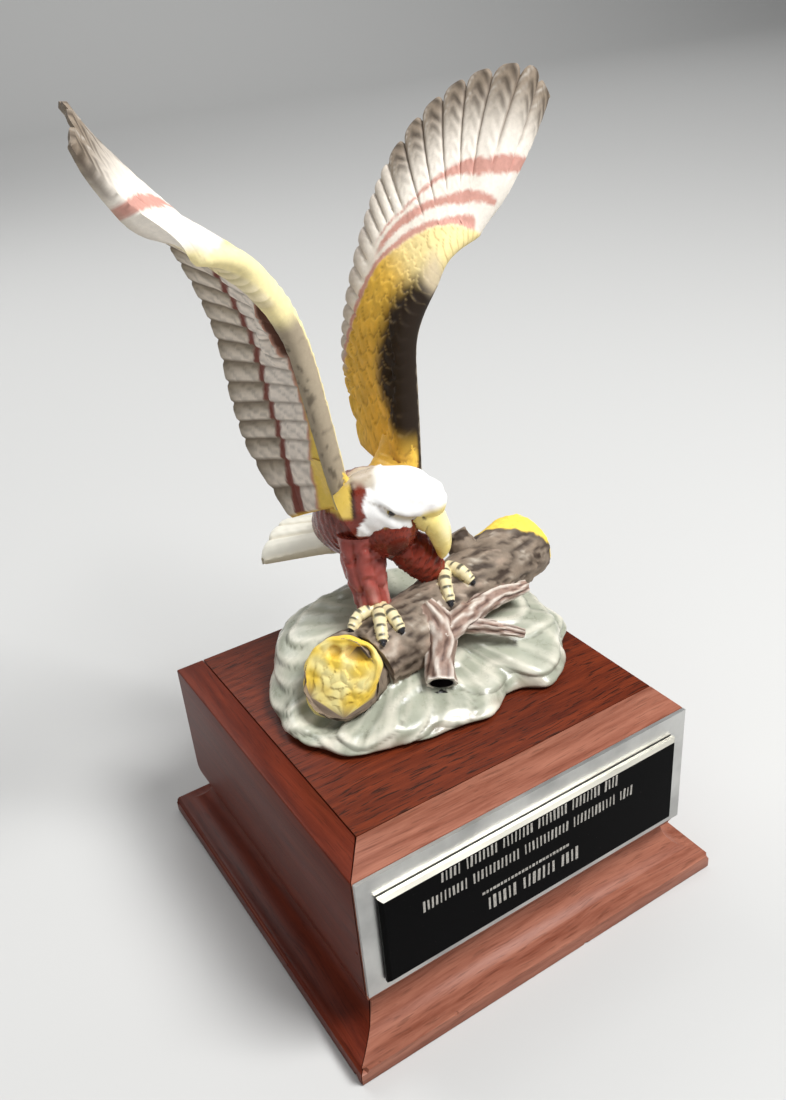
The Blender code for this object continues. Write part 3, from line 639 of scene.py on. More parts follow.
def flower_end(name, middle, axis, upward, radius, outline, hollow):
    """A face of short rounded petals in rings, with a rolled rim and a hollow near its top."""
    axis = unit(np.array(axis, dtype=float))
    high = unit(np.array(upward, dtype=float) - axis * (np.array(upward) @ axis))
    wide = np.cross(high, axis)
    rings, sides = 42, 96
    share = np.linspace(1, 0.012, rings)[:, None] * np.ones(sides)
    turn = np.ones((rings, 1)) * np.arange(sides) / sides * 2 * math.pi
    rim = np.interp(np.degrees(turn), *zip(*outline)) + 0.012 * np.sin(13 * turn)
    up, right = share * np.cos(turn), share * np.sin(turn)
    row = share * 4.2
    number = np.floor(row)
    petals = np.array([3, 7, 11, 15, 17, 19])[np.minimum(number, 5).astype(int)]
    lean = turn + 0.5 * number
    across = np.abs(np.sin(lean * petals / 2))
    petal = row + 0.35 * (across - 0.6)
    leaf = petal - np.floor(petal)
    swell = 0.45 * np.sqrt(np.clip(leaf, 0, 1)) * (0.35 + 0.65 * across**0.6) * ease(0.0, 0.12, share) * ease(1.0, 0.9, share)
    pit = hollow * ease(0.38, 0.14, np.hypot((up - 0.60) * 1.6, (right - 0.32) * 0.9)) \
        + 0.7 * hollow * ease(0.24, 0.08, np.hypot((up - 0.62) * 1.3, right + 0.2))
    dome = 1.3 * (1 - share**2)
    level = dome + swell - 2.2 * pit + 0.5 * ease(0.82, 0.95, share) * ease(1.0, 0.96, share)
    spread = (high * np.cos(turn)[..., None] + wide * np.sin(turn)[..., None]) * (radius * share * rim)[..., None]
    front = np.array(middle) + spread + axis * level[..., None]
    back = np.array(middle) + spread[:1] * 0.9 - axis * 5.0
    points = np.concatenate([back, front])
    shade = np.clip(0.8 * pit + ease(0.22, 0.02, leaf) * 0.22 * ease(0.1, 0.3, share) + 0.12 * ease(0.35, 0.1, across), 0, 1)
    glow = YELLOW * (1 + 0.12 * mottle(points, 3, 5)[..., None])
    glow = blend(glow, (0.95, 0.86, 0.40), 0.85 * ease(-0.35, 0.3, mottle(points, 5, 19)))
    colours = blend(glow, AMBER, np.concatenate([np.zeros((1, sides)), shade]))
    return clay(name, points, loft_faces(rings + 1, sides), colours.reshape(-1, 3), 0.45, "petal_paint")


flower_end("figurine_log_face", (-22.9, -1.3, 13.7), (-0.66, -0.58, 0.42), (0, 0, 1), 11.0, SHELL_OUTLINE, 1.0)
flower_end("figurine_log_far_face", (49.8, 13.2, 22.2), (0.96, 0.24, 0.12), (0, 0, 1), 9.5, [(0, 1), (360, 1)], 0.4)

# Branch. A forked dead branch lies against the log, pinkish brown with grey streaks along it; its
# thick end is an open hollow with a thin pale rim.
BRANCH_PINK, BRANCH_GREY = np.array([0.31, 0.21, 0.165]), np.array([0.82, 0.76, 0.67])


def wood_strands(share, turn, points):
    return np.sin(6 * turn + 6 * share + 3.2 * mottle(points, 4.5, 3)) + 0.5 * np.sin(11 * turn - 5 * share + 2 * mottle(points, 3, 8))


def branch_relief(share, turn, points):
    return 0.26 * wood_strands(share, turn, points) + 0.3 * mottle(points, 2.6, 5)


def branch_paint(share, turn, points):
    strand = wood_strands(share, turn, points)
    colours = blend(BRANCH_PINK * (1 + 0.25 * mottle(points, 3, 14)[..., None]), BRANCH_GREY, 0.72 * ease(-0.1, 1.2, strand))
    colours = blend(colours, (0.09, 0.05, 0.04), 0.85 * ease(-0.5, -1.3, strand))
    return colours, np.full(share.shape, 0.38)


def trunk_paint(share, turn, points):
    colours, gloss = branch_paint(share, turn, points)
    return blend(colours, (0.80, 0.74, 0.66), ease(0.03, 0.0, share)), gloss


painted_limb("figurine_trunk", [
    (0.0, -13.8, 9.2, 4.2, 3.6), (3.2, -8.6, 12.8, 4.0, 4.2), (6.4, -4.4, 19.2, 4.6, 4.2), (5.2, 0.6, 25, 2.2, 2.6)],
    56, 44, (1, 0, 0), "bark_paint", trunk_paint, branch_relief)
for name, stations, rings, sides in (
        ("figurine_upper_fork", [(5.5, -6, 17.5, 3.6, 3.4), (15.6, -4.2, 19.6, 3.6, 3.2), (27, -2.0, 19.6, 2.7, 2.7),
                                 (38.5, -1.6, 18.4, 1.6, 1.6)], 80, 36),
        ("figurine_lower_fork", [(12, -4.4, 18.6, 2.8, 2.6), (20, -8.2, 15.8, 1.9, 1.9), (28.6, -13, 12.6, 1.2, 1.2)], 52, 26)):
    painted_limb(name, stations, rings, sides, (0, 1, 0), "bark_paint", branch_paint, branch_relief)
# The bore's walls are painted near-black: painted shade inside the hollow end.
bore = painted_limb("stub_bore", [(-0.8, -15.1, 8.3, 3.3, 2.7), (2.6, -9.6, 12.1, 2.8, 2.5)], 14, 40, (1, 0, 0),
                    "claw_black", plain_paint((0.008, 0.006, 0.006), 0.3))

# Body. Maroon glaze over rows of small feathers, glossy; the legs are a lighter red with feather
# tufts, the toes cream with black bars and black claws, gripping the log.
MAROON, LEG_RED, CREAM = np.array([0.19, 0.026, 0.013]), np.array([0.34, 0.075, 0.06]), np.array([0.80, 0.70, 0.42])
LINT, ARMPIT_YELLOW = np.array([0.50, 0.43, 0.33]), np.array([0.82, 0.58, 0.12])


def feather_lap(share, turn, rows, around):
    """Overlapping small feathers: 0 at each one's root, 1 at its rounded tip, and its place across."""
    row = share * rows
    across = turn / (2 * math.pi) * around + 0.5 * (np.floor(row) % 2)
    across = across - np.floor(across)
    lap = row + 0.45 * (2 * across - 1)**2
    return lap - np.floor(lap), across


def plumage_relief(rows, around, depth):
    def relief(share, turn, points):
        lap, across = feather_lap(share, turn, rows, around)
        fade = ease(0.0, 0.06, share) * ease(1.0, 0.94, share)
        return fade * (depth * (lap**1.6 - 0.45) + 0.35 * depth * mottle(points, 2.4, 3))
    return relief


def plumage_paint(colour, rows, around, root_shade, gloss):
    def paint(share, turn, points):
        lap, across = feather_lap(share, turn, rows, around)
        tone = 1 + 0.2 * mottle(points, 3, 6)[..., None]
        # Each small feather is a darker copy of its colour at its root, under the tip of the row above, and a lighter
        # copy at its tip: painted shade and painted highlight.
        colours = blend(np.asarray(colour) * tone, np.asarray(colour) * root_shade, ease(0.3, 0.0, lap))
        return blend(colours, np.minimum(np.asarray(colour) * 1.7, 0.8), 0.2 * ease(0.82, 1.0, lap)), np.full(share.shape, gloss)
    return paint


def body_paint(share, turn, points):
    colours, gloss = plumage_paint(MAROON, 18, 18, 0.4, 0.25)(share, turn, points)
    jag = 0.5 * mottle(points, 1.6, 44)
    colours = blend(colours, ARMPIT_YELLOW, ease(48.9, 49.5, points[..., 2] + jag) * ease(-1.5, -3.5, points[..., 0]))
    to_neck = np.linalg.norm((points - [4.0, 20.0, 60.0]) / [11.0, 9.0, 7.0], axis=-1)
    lint = ease(1.15, 0.75, to_neck + 0.18 * mottle(points, 2.5, 21))
    colours = blend(colours, LINT, lint)
    spot = ease(1.0, 0.5, np.linalg.norm((points - [3.9, 20.1, 60.7]) / [2.6, 2.2, 2.6], axis=-1))
    return blend(colours, (0.14, 0.075, 0.045), 0.8 * spot), np.where(lint > 0.4, 0.85, gloss)


painted_limb("figurine_body", [
    (3, 45, 33.5, 5, 3.5), (3.2, 40, 35.5, 9.5, 7.5), (3.6, 31, 40.5, 13, 12), (3.6, 22, 45, 13, 12.6),
    (2.5, 13, 46, 10.5, 11.4), (1.2, 6.8, 44.2, 6.6, 7.8), (0.5, 3.8, 43, 2.8, 3.6)], 70, 68, (1, 0, 0), "maroon_glaze",
    body_paint, plumage_relief(18, 18, 0.28))


def leg_tufts(share, turn, points):
    """Long soft locks down the leg, ending in a few rounded tips."""
    lock = np.abs(np.sin(3.5 * turn + 2.0 * share + 0.8 * mottle(points, 6, 8)))
    tip = np.abs(share * 3 + 0.25 * np.sin(4 * turn) - np.floor(share * 3 + 0.25 * np.sin(4 * turn)) - 0.5) * 2
    return lock, tip


def leg_relief(share, turn, points):
    lock, tip = leg_tufts(share, turn, points)
    fade = ease(0.0, 0.06, share) * ease(1.0, 0.94, share)
    return fade * (0.75 * (lock**0.6 - 0.6) - 0.7 * ease(0.25, 0.0, tip) + 0.45 * mottle(points, 3.2, 5))


def near_leg_paint(share, turn, points):
    lock, tip = leg_tufts(share, turn, points)
    colours = LEG_RED * (1 + 0.25 * mottle(points, 4, 3)[..., None])
    # Maroon in the furrows between the locks is painted shade; pale red on the lock crests is a painted highlight.
    colours = blend(colours, MAROON, 0.7 * ease(0.3, 0.0, lock) + 0.3 * ease(0.2, 0.0, tip))
    colours = blend(colours, (0.66, 0.36, 0.31), 0.6 * ease(0.75, 1.0, lock) * ease(0.35, 0.8, share))
    return colours, np.full(share.shape, 0.17)


painted_limb("figurine_near_leg", [
    (-4, 15, 44, 6.5, 7), (-5, 13, 35, 5.8, 5.6), (-5, 10.5, 27, 4.8, 4.6), (-5, 9, 22, 4.4, 4)], 54, 48, (1, 0, 0),
    "maroon_glaze", near_leg_paint, leg_relief)
painted_limb("figurine_far_leg", [
    (4.5, 13, 39.5, 4.5, 5), (9, 11, 35.5, 5.8, 6), (12.2, 9.5, 31, 5.3, 5.3), (14.6, 8.5, 26.5, 3.4, 3.4)], 50, 46, (1, 0, 0),
    "maroon_glaze", plumage_paint(MAROON * 1.1, 8, 9, 0.35, 0.3), plumage_relief(8, 9, 0.5))
TOES = [
    ((-5.0, 7.2, 25.0), (-11.2, 7.4, 24.5), (-14.7, 5.8, 22.4)),
    ((-5.0, 7.2, 25.0), (-8.8, 0.6, 25.6), (-11.2, -4.2, 22.9)),
    ((-5.0, 7.2, 25.0), (-5.3, 0.2, 25.9), (-5.4, -4.0, 23.8)),
    ((18.0, 8.8, 28.2), (13.6, 2.4, 27.9), (11.9, -2.2, 24.8)),
    ((18.0, 8.8, 28.2), (19.6, 3.4, 28.6), (20.8, 0.2, 26.4))]
TOE_CLAW = 0.35


def toe_relief(share, turn, points):
    return 0.08 * np.sin(share * 44) * ease(0.78, 0.66, share) - 0.35 * ease(0.72, 0.76, share) * ease(0.86, 0.8, share)


def toe_paint(share, turn, points):
    top = ease(0.45, 0.75, unit(points - points.mean(axis=1, keepdims=True))[..., 2] + 0.3 * mottle(points, 1.2, 8))
    bars = ease(0.3, 0.75, np.sin(share * 44)) * ease(0.78, 0.66, share)
    colours = blend(CREAM * (1 + 0.08 * mottle(points, 2, 5)[..., None]), (0.03, 0.028, 0.02), 0.92 * bars * top)
    return blend(colours, (0.018, 0.018, 0.022), ease(0.69, 0.73, share)), np.where(share > 0.71, 0.2, 0.45)


for number, (begin, knuckle, tip) in enumerate(TOES):
    beyond = np.array(tip) + (np.array(tip) - np.array(knuckle)) * TOE_CLAW
    painted_limb(f"figurine_toe_{number}", [
        (*begin, 2.0, 1.8), (*knuckle, 1.8, 1.7), (*tip, 1.4, 1.3), (*beyond, 0.3, 0.3)], 54, 20, (0.9, 0.4, 0.1),
        "bisque_white", toe_paint, toe_relief)

# Tail. A blunt arched fan of cream feathers; khaki painted shade on its underside, its grooves and its sides.
TAIL_ROOT, TAIL_END = np.array([4.0, 35.0, 39.0]), np.array([-4.0, 65.0, 27.8])
TAIL_ACROSS, TAIL_FEATHERS = np.array([0.93, 0.36, 0.0]), 5


def tail_form():
    shares = np.linspace(-1, 1, 12 * TAIL_FEATHERS + 1)
    lobes = 1.8 * np.sqrt(np.abs(np.sin((shares + 1) / 2 * TAIL_FEATHERS * math.pi))) - 2.2 * shares**2
    along = unit(TAIL_END - TAIL_ROOT)
    across = (shares + 1) / 2 * TAIL_FEATHERS
    across = np.clip(across - np.floor(across - 1e-9), 0, 1)
    points, colours = [], []
    steps = np.concatenate([np.linspace(0, 0.95, 30), [0.97, 0.985, 0.995, 1.0]])
    for step in steps:
        ridge = TAIL_ROOT + (TAIL_END - TAIL_ROOT) * step
        width, sag, thick = 8 + 5.5 * step, 4 + 3.2 * step, 6.5 - 3.4 * step
        rounding = 1 - math.sqrt(max(0.0, 1 - max(0.0, (step - 0.94) / 0.06)**2))
        groove = 0.5 * np.exp(-(np.minimum(across, 1 - across) / 0.12)**2) - 0.16 * np.exp(-((across - 0.5) / 0.08)**2)
        barbs = 0.07 * np.sin(40 * step + 9 * np.abs(across - 0.5))
        for face, order in ((0.0, 1), (1.0, -1)):
            side = 1 - 2 * face
            drop = sag * shares**2 + face * thick + side * (groove + barbs) * (np.abs(shares) < 0.999)
            drop = drop + side * thick * 0.38 * rounding + side * thick * 0.3 * ease(0.85, 1.0, np.abs(shares))
            place = (ridge + TAIL_ACROSS * (shares * width)[:, None] + along * (lobes * step)[:, None]
                     - np.array([0, 0, 1.0]) * drop[:, None])
            # Khaki painted shade on the underside, in the grooves between feathers and at the fan's downturned sides.
            cream_with_painted_shade = blend(np.ones((len(shares), 3)) * (0.93, 0.90, 0.78), (0.60, 0.52, 0.36),
                         0.5 * np.clip(groove * 2, 0, 1) + 0.5 * face + 0.2 * ease(0.92, 1.0, np.abs(shares)))
            points.append(place[::order])
            colours.append(cream_with_painted_shade[::order])
    return clay("figurine_tail", np.concatenate(points), loft_faces(len(steps), 2 * len(shares)),
                np.concatenate(colours), 0.5, "bisque_white")


tail_form()

# Head. Bright white glaze, turned to the eagle's left and bowed, a heavy brow over a small dark eye;
# the white ends in a jagged collar over the maroon neck. The hooked beak is pale yellow.
HEAD_MIDDLE = np.array([6.5, 8.5, 54.0])
HEAD_FORWARD, HEAD_ACROSS = np.array([0.866, -0.5, 0.0]), np.array([0.5, 0.866, 0.0])
BROW = [(-16, 5.0), (-10.2, 3.3), (-6.4, 1.7), (-4.3, 0.35), (-2.8, -1.0), (1.3, -2.7), (4.3, -3.8), (9, -5.5)]
WHITE_BACK = [(-12, -13.8), (-6.3, -13.6), (-1.2, -11.0), (3.3, -10.2), (6.9, -9.8), (9.3, -6.5)]
WHITE_FOOT = [(-14, -6.0), (-12.3, -7.1), (-8.6, -7.4), (-6.6, -8.4), (-5.3, -11.2), (-3.8, -10.2), (-1.4, -7.8), (1.3, -7.0), (2.6, -9.5), (3.4, -20.0)]
EYE_FORWARD, EYE_UP, EYE_SIDE = -3.7, -0.55, 7.85
NOSTRIL_FORWARD, NOSTRIL_UP = 4.6, -4.6


def head_frame(stations):
    return [(*(HEAD_MIDDLE + forward * HEAD_FORWARD + (0, 0, up)), *sizes) for forward, up, *sizes in stations]


def in_profile(points):
    """Forward, up and sideways from the middle of the head."""
    from_middle = points - HEAD_MIDDLE
    return from_middle @ HEAD_FORWARD, from_middle[..., 2], from_middle @ HEAD_ACROSS


def head_relief(share, turn, points):
    forward, up, side = in_profile(points)
    above = up - line_at(forward, BROW)
    near_eye = ease(-9.0, -5.0, forward) * ease(7.0, 3.0, forward)
    on_side = ease(1.5, 4.0, np.abs(side))
    brow = 0.55 * ease(0.0, 0.8, above) * ease(4.5, 1.2, above)
    hollow = -0.75 * ease(0.15, -0.5, above) * ease(-3.6, -1.0, above)
    cheek = 0.5 * np.abs(np.sin(0.75 * forward + 0.5 * up + 1.2 * mottle(points, 5, 9))) * ease(-2.0, -4.5, up) * ease(2, -1, forward)
    locks = 0.35 * mottle(points, 4.5, 13) + 0.14 * mottle(points, 2.0, 17)
    fade = ease(1.0, 0.93, share) * ease(0, 0.08, share)
    return fade * (on_side * (near_eye * (brow + hollow) + 0.55 * cheek) + locks * ease(7.0, 3.0, up - 0.2 * forward))


def face_paint(points):
    """White with a jagged edge over maroon, yellow over the root of the beak; painted shade under the brow, in the
    crevice behind the collar and under the cheeks.
    """
    forward, up, side = in_profile(points)
    jag = 0.8 * mottle(points, 2.2, 6) + 0.4 * mottle(points, 1.1, 16)
    white = ease(-0.22, 0.22, forward - line_at(up, WHITE_BACK) + jag) * ease(-0.22, 0.22, up - line_at(forward, WHITE_FOOT) + 0.7 * jag)
    white = np.maximum(white, ease(1.5, 2.5, forward))
    colours = blend(MAROON * (1 + 0.2 * mottle(points, 3, 6)[..., None]), np.array([0.95, 0.945, 0.92]), white)
    # Near-black painted shade in the crevice behind the collar.
    crevice = ease(-12.4, -13.2, forward) * ease(-2, -0.5, up) * (1 - white)
    colours = blend(colours, (0.03, 0.012, 0.008), 0.9 * crevice)
    colours = blend(colours, ARMPIT_YELLOW, ease(-13.6, -14.3, forward) * ease(-2, -0.5, up))
    lint = ease(0.1, 0.9, (up - 5.2) / 2 + 0.6 * mottle(points, 2, 31)) * ease(-5.5, -8.5, forward)
    colours = blend(colours, LINT, 0.9 * lint)
    above = up - line_at(forward, BROW)
    yellow = ease(2.4, 4.2, forward - 0.35 * (up + 4) + 0.4 * mottle(points, 2, 9)) * ease(-1.0, -3.4, up)
    colours = blend(colours, (0.92, 0.74, 0.20), 0.95 * yellow)
    shade = ease(0.1, -0.3, above) * ease(-2.4, -0.6, above) * ease(-6.0, -4.5, forward) * ease(6.0, 2.5, forward)
    colours = blend(colours, (0.50, 0.40, 0.20), 0.75 * shade * ease(2.0, 4.0, np.abs(side)))
    line = ease(0.5, 0.1, np.abs(above)) * ease(-10.5, -8.0, forward) * ease(2.5, 0.5, forward)
    colours = blend(colours, (0.20, 0.15, 0.09), 0.6 * line * ease(2.0, 4.0, np.abs(side)))
    # Greyish painted shade on the white under the cheeks.
    under = ease(-4.8, -7.0, up) * ease(-11, -7, forward) * ease(2.5, 0.0, forward) * ease(-0.4, 0.5, mottle(points, 3, 24))
    return blend(colours, (0.55, 0.50, 0.40), 0.45 * under * white)


def head_paint(share, turn, points):
    return face_paint(points), np.full(share.shape, 0.3)


painted_limb("figurine_head", head_frame([
    (-15, -4, 8, 8), (-10, -1.5, 8.2, 9.2), (-4, -1.1, 8.4, 10.4), (1, 0.2, 7.6, 8.0), (5, -0.9, 6.3, 6.0),
    (8.6, -2.4, 4.6, 4.6), (10.5, -3.0, 2.3, 2.4)]), 90, 84, HEAD_ACROSS, "bisque_white", head_paint, head_relief)


def beak_paint(share, turn, points):
    forward, up, side = in_profile(points)
    colours = blend(np.array([0.92, 0.76, 0.26]) * (1 + 0.08 * mottle(points, 2, 3)[..., None]), (0.97, 0.91, 0.62),
                    0.6 * ease(7.0, 11.0, forward) * ease(-16, -9, up))
    colours = blend(colours, (0.62, 0.36, 0.05), 0.8 * ease(-14.0, -17.5, up) * ease(10.0, 7.5, forward))
    nostril = ease(0.7, 0.4, np.hypot(forward - NOSTRIL_FORWARD, (up - NOSTRIL_UP) * 1.3))
    gape = ease(0.35, 0.08, np.abs(forward - 5.2 - 0.3 * (up + 8.0))) * ease(-6.5, -7.5, up) * ease(-15.5, -13.5, up)
    return blend(colours, (0.07, 0.045, 0.015), np.clip(nostril + 0.45 * gape, 0, 1)), np.full(share.shape, 0.28)


def beak_relief(share, turn, points):
    forward, up, side = in_profile(points)
    pit = -0.35 * ease(0.8, 0.2, np.hypot(forward - NOSTRIL_FORWARD, (up - NOSTRIL_UP) * 1.3))
    gape = -0.22 * ease(0.5, 0.1, np.abs(forward - 5.2 - 0.3 * (up + 8.0))) * ease(-6.5, -7.5, up)
    return pit + gape + 0.06 * mottle(points, 2, 7)


painted_limb("figurine_beak", head_frame([
    (3.0, -4, 4.4, 4.2), (6.1, -6.6, 4.6, 4.4), (8.0, -9.6, 4.1, 3.6), (8.9, -13.0, 3.3, 3.0),
    (9.2, -16, 2.4, 2.3), (9.0, -18.4, 1.4, 1.4), (8.9, -19.6, 0.5, 0.5)]), 60, 48, HEAD_ACROSS, "bisque_white",
    beak_paint, beak_relief)


def eye_paint(share, turn, points):
    forward, up, side = in_profile(points)
    middle = np.hypot(forward - EYE_FORWARD, up - EYE_UP)
    return blend(np.array([0.42, 0.30, 0.06]) * np.ones(share.shape + (1,)), (0.01, 0.009, 0.008), ease(1.0, 0.8, middle)), \
        np.full(share.shape, 0.1)


for side in (-1, 1):
    eye = HEAD_MIDDLE + EYE_FORWARD * HEAD_FORWARD + side * EYE_SIDE * HEAD_ACROSS + (0, 0, EYE_UP)
    outward = side * HEAD_ACROSS
    painted_limb(f"figurine_eye_{'near' if side < 0 else 'far'}", [
        (*(eye + outward * reach), long, tall) for reach, long, tall in (
            (-1.2, 0.2, 0.15), (-0.6, 1.0, 0.7), (0.0, 1.15, 0.8), (0.45, 0.75, 0.5), (0.6, 0.1, 0.08))],
        20, 28, HEAD_FORWARD * 0.94 + np.array([0, 0, -0.34]), "claw_black", eye_paint)

# Wings. Each is one raised wing with a thick rounded arm along its leading edge, thin vanes behind it
# and a scalloped margin of feather tips. Painted bands run along the rows of feathers.
WING_KNOTS_SPINE = (0.0, 0.45, 0.68, 0.84, 1.0)
WING_KNOTS_MARGIN = (0.0, 0.09, 0.22, 0.35, 0.46, 0.58, 0.72, 0.84, 0.93, 1.0)
SPINES = {
    "left": [(44, -12, 111), (26.5, -9, 101.5), (18, -10.5, 87), (16.5, -10, 72), (13, -7, 50)],
    "right": [(-44, -11.5, 123), (-28, -7.5, 112), (-19.5, -8, 97), (-17.4, -6, 81), (-13.5, -4.5, 52.5)]}
MARGINS = {
    "left": [(70.5, -7.5, 142), (63, -6.5, 150), (55, -21, 149), (45.5, -32, 140), (36.5, -36.5, 129),
             (28, -37.5, 116), (20, -39.5, 95), (20, -44, 78), (20, -43, 66), (16, -34, 51)],
    "right": [(-70.5, -3, 151), (-65, -13, 156), (-59, -28, 156), (-49, -38, 146), (-41, -39.5, 133),
              (-33, -38.5, 119), (-25.5, -38.5, 97), (-24, -37.5, 76), (-23, -33.5, 62), (-19.5, -24.5, 45)]}
PRIMARIES, SECONDARIES, PRIMARY_SHARE = 8, 16, 0.46
ARM_ROOT, ARM_WRIST, ARM_TIP, VANE_HALF = 3.4, {"left": 2.7, "right": 3.8}, 1.1, 0.75
HAND_BOW, ARM_BOW = {"left": 2.2, "right": -3.0}, {"left": 2.2, "right": 1.6}
INWARD = {"left": -1, "right": 1}
FEATHER_WHITE, TAUPE, TAUPE_DARK = np.array([0.88, 0.82, 0.73]), np.array([0.30, 0.24, 0.18]), np.array([0.06, 0.045, 0.033])
BAND_PINK, BAND_MAROON = np.array([0.56, 0.23, 0.18]), np.array([0.19, 0.045, 0.032])
OCHRE, WING_YELLOW, UMBER = np.array([0.78, 0.49, 0.075]), np.array([0.92, 0.80, 0.42]), np.array([0.022, 0.014, 0.009])


def eagle_frame(points):
    """From the eagle's side, forward and up to the drawing's x, y and z."""
    side = np.array([math.cos(WING_HEADING), math.sin(WING_HEADING), 0.0])
    forward = np.array([math.sin(WING_HEADING), -math.cos(WING_HEADING), 0.0])
    points = np.asarray(points, dtype=float)
    return PERCH + points[..., :1] * side + points[..., 1:2] * forward + points[..., 2:] * np.array([0.0, 0.0, 1.0])


OUTER_BAND = [(0, .57), (.05, .54), (.09, .51), (.13, .475), (.22, .49), (.32, .50), (.37, .52), (.41, .535), (.47, .58), (.52, .65), (.57, .70), (.60, .72)]
OUTER_BAND_FOOT = [(0, .475), (.09, .40), (.15, .38), (.23, .42), (.30, .46), (.35, .48), (.41, .515), (.47, .565), (.52, .635), (.57, .69), (.60, .715)]
MIDDLE_BAND = [(.06, .245), (.08, .27), (.12, .29), (.21, .32), (.29, .35), (.36, .41), (.42, .48), (.48, .55), (.53, .61), (.57, .65), (.60, .67)]
MIDDLE_BAND_FOOT = [(.06, .24), (.08, .225), (.22, .25), (.31, .31), (.39, .39), (.45, .45), (.50, .52), (.54, .57), (.60, .64)]
INNER_BAND = [(.13, .13), (.15, .165), (.18, .18), (.26, .21), (.34, .26), (.41, .345), (.49, .45), (.54, .51), (.60, .62), (.68, .75), (.73, .81), (.78, .87), (.85, .95), (1.0, 1.2)]
OCHRE_EDGE = [(0, .02), (.15, .09), (.19, .10), (.33, .205), (.43, .32), (.53, .45), (.59, .56), (.62, .61), (.68, .69), (.73, .76), (.78, .82), (.85, .91), (.92, 1.1), (1.0, 1.2)]


UMBER_EDGE = [(.42, .02), (.50, .10), (.58, .22), (.66, .31), (.76, .35), (.84, .33), (.90, .22), (.96, .04)]


def inside(value, low, high, blur=0.008):
    return ease(low - blur, low + blur, value) * ease(high + blur, high - blur, value)


def dorsal_paint(which, place, reach, quill, points):
    """Upper side: taupe tips, three pink bands on white, ochre coverts, umber along the arm."""
    wobble = 0.006 * mottle(points, 2.0, 4) + 0.004 * mottle(points, 0.9, 5)
    depth = reach + wobble
    primary = place < PRIMARY_SHARE
    colours = np.broadcast_to(FEATHER_WHITE, points.shape) * (1 + 0.05 * mottle(points, 4, 3)[..., None])
    outer = line_at(place, OUTER_BAND)
    tip = ease(0.0, 1.0, (depth - outer) / np.maximum(0.98 - outer, 0.05))
    colours = blend(colours, TAUPE, np.clip(tip * np.where(primary, 1.05, 0.5), 0, 1))
    dark_side = ease(0.85, 0.35, quill) * ease(0.03, 0.12, quill)
    hatch = 0.5 + 0.5 * np.sin(reach * 70 + np.abs(quill - 0.5) * 16 + 1.8 * mottle(points, 3.0, 27))
    tip_dark = primary * ease(0.60, 0.88, depth) * (0.35 + 0.65 * dark_side) * (0.15 + 0.85 * hatch)
    colours = blend(colours, TAUPE_DARK, 0.88 * tip_dark)
    light_bars = primary * ease(0.68, 0.9, depth) * ease(0.7, 1.0, hatch) * ease(0.5, 0.8, quill)
    colours = blend(colours, (0.74, 0.68, 0.60), 0.5 * light_bars)
    vane_line = ease(0.10, 0.03, np.minimum(quill, 1 - quill)) * ease(outer + 0.02, outer + 0.10, depth)
    colours = blend(colours, (0.16, 0.12, 0.09), np.where(primary, 0.55, 0.3) * vane_line)
    colours = blend(colours, BAND_PINK, 0.85 * ease(0.60, 0.56, place) * inside(depth, line_at(place, OUTER_BAND_FOOT), outer))
    shown = 0.85 if which == "left" else 0.12
    started = shown * ease(0.055, 0.075, place)
    colours = blend(colours, BAND_PINK, started * ease(0.62, 0.56, place)
                    * inside(depth, line_at(place, MIDDLE_BAND_FOOT), line_at(place, MIDDLE_BAND)))
    if which == "right":
        colours = blend(colours, WING_YELLOW, ease(0.16, 0.08, depth) * ease(0.22, 0.02, place))
    started = shown * ease(0.13, 0.15, place)
    colours = blend(colours, BAND_PINK, started * inside(depth, line_at(place, OCHRE_EDGE), line_at(place, INNER_BAND)))
    coverts = ease(0.012, -0.012, depth - line_at(place, OCHRE_EDGE))
    lap, across = covert_lap(place, reach)
    ochre = blend(OCHRE * (1 + 0.22 * mottle(points, 3.2, 8)[..., None]), WING_YELLOW,
                  ease(0.62, 0.48, place) * 0.8 + 0.25 * ease(0.4, 0.8, mottle(points, 5, 2)))
    # Each covert is a darker copy of the ochre at its root, under the tip of the row above: painted shade.
    ochre = blend(ochre, (0.30, 0.15, 0.03), 0.55 * ease(0.25, 0.0, lap))
    colours = blend(colours, ochre, coverts)
    if which == "left":
        edge = line_at(place, UMBER_EDGE)
        umber = ease(edge + 0.14, edge - 0.10, depth + 0.07 * (lap - 0.5)) * ease(0.44, 0.50, place) * ease(0.97, 0.90, place)
        colours = blend(colours, UMBER, umber)
        colours = blend(colours, (0.44, 0.33, 0.17), 0.5 * umber * ease(0.84, 0.98, lap) * ease(edge - 0.24, edge, depth))
        # Pale beige at the wrist is a painted highlight.
        wrist_highlight = ease(0.2, 0.03, depth) * ease(0.36, 0.42, place) * ease(0.53, 0.46, place)
        colours = blend(colours, (0.60, 0.50, 0.36), 0.8 * wrist_highlight)
    else:
        colours = blend(colours, WING_YELLOW, coverts * ease(0.16, 0.08, depth))
        speckled = blend(np.broadcast_to([0.36, 0.30, 0.215], points.shape), (0.10, 0.078, 0.055),
                         0.75 * ease(0.15, 0.45, mottle(points * [1, 1, 0.8], 1.3, 40)))
        colours = blend(colours, speckled, ease(0.022, 0.010, depth) * ease(0.54, 0.62, place))
    # Grey on the secondaries' tips, stronger on each tip's tucked half as painted shade.
    margin = ease(0.86, 0.93, depth) * ease(0.52, 0.60, place) * ease(0.92, 0.86, place)
    colours = blend(colours, (0.56, 0.50, 0.45), 0.7 * margin * (0.4 + 0.6 * ease(0.5, 0.2, quill)))
    root = ease(0.955, 0.99, place + 0.02 * mottle(points, 1.6, 3))
    return blend(colours, BAND_MAROON, 0.8 * root * ease(0.5, 0.2, reach)), np.full(place.shape, 0.6)


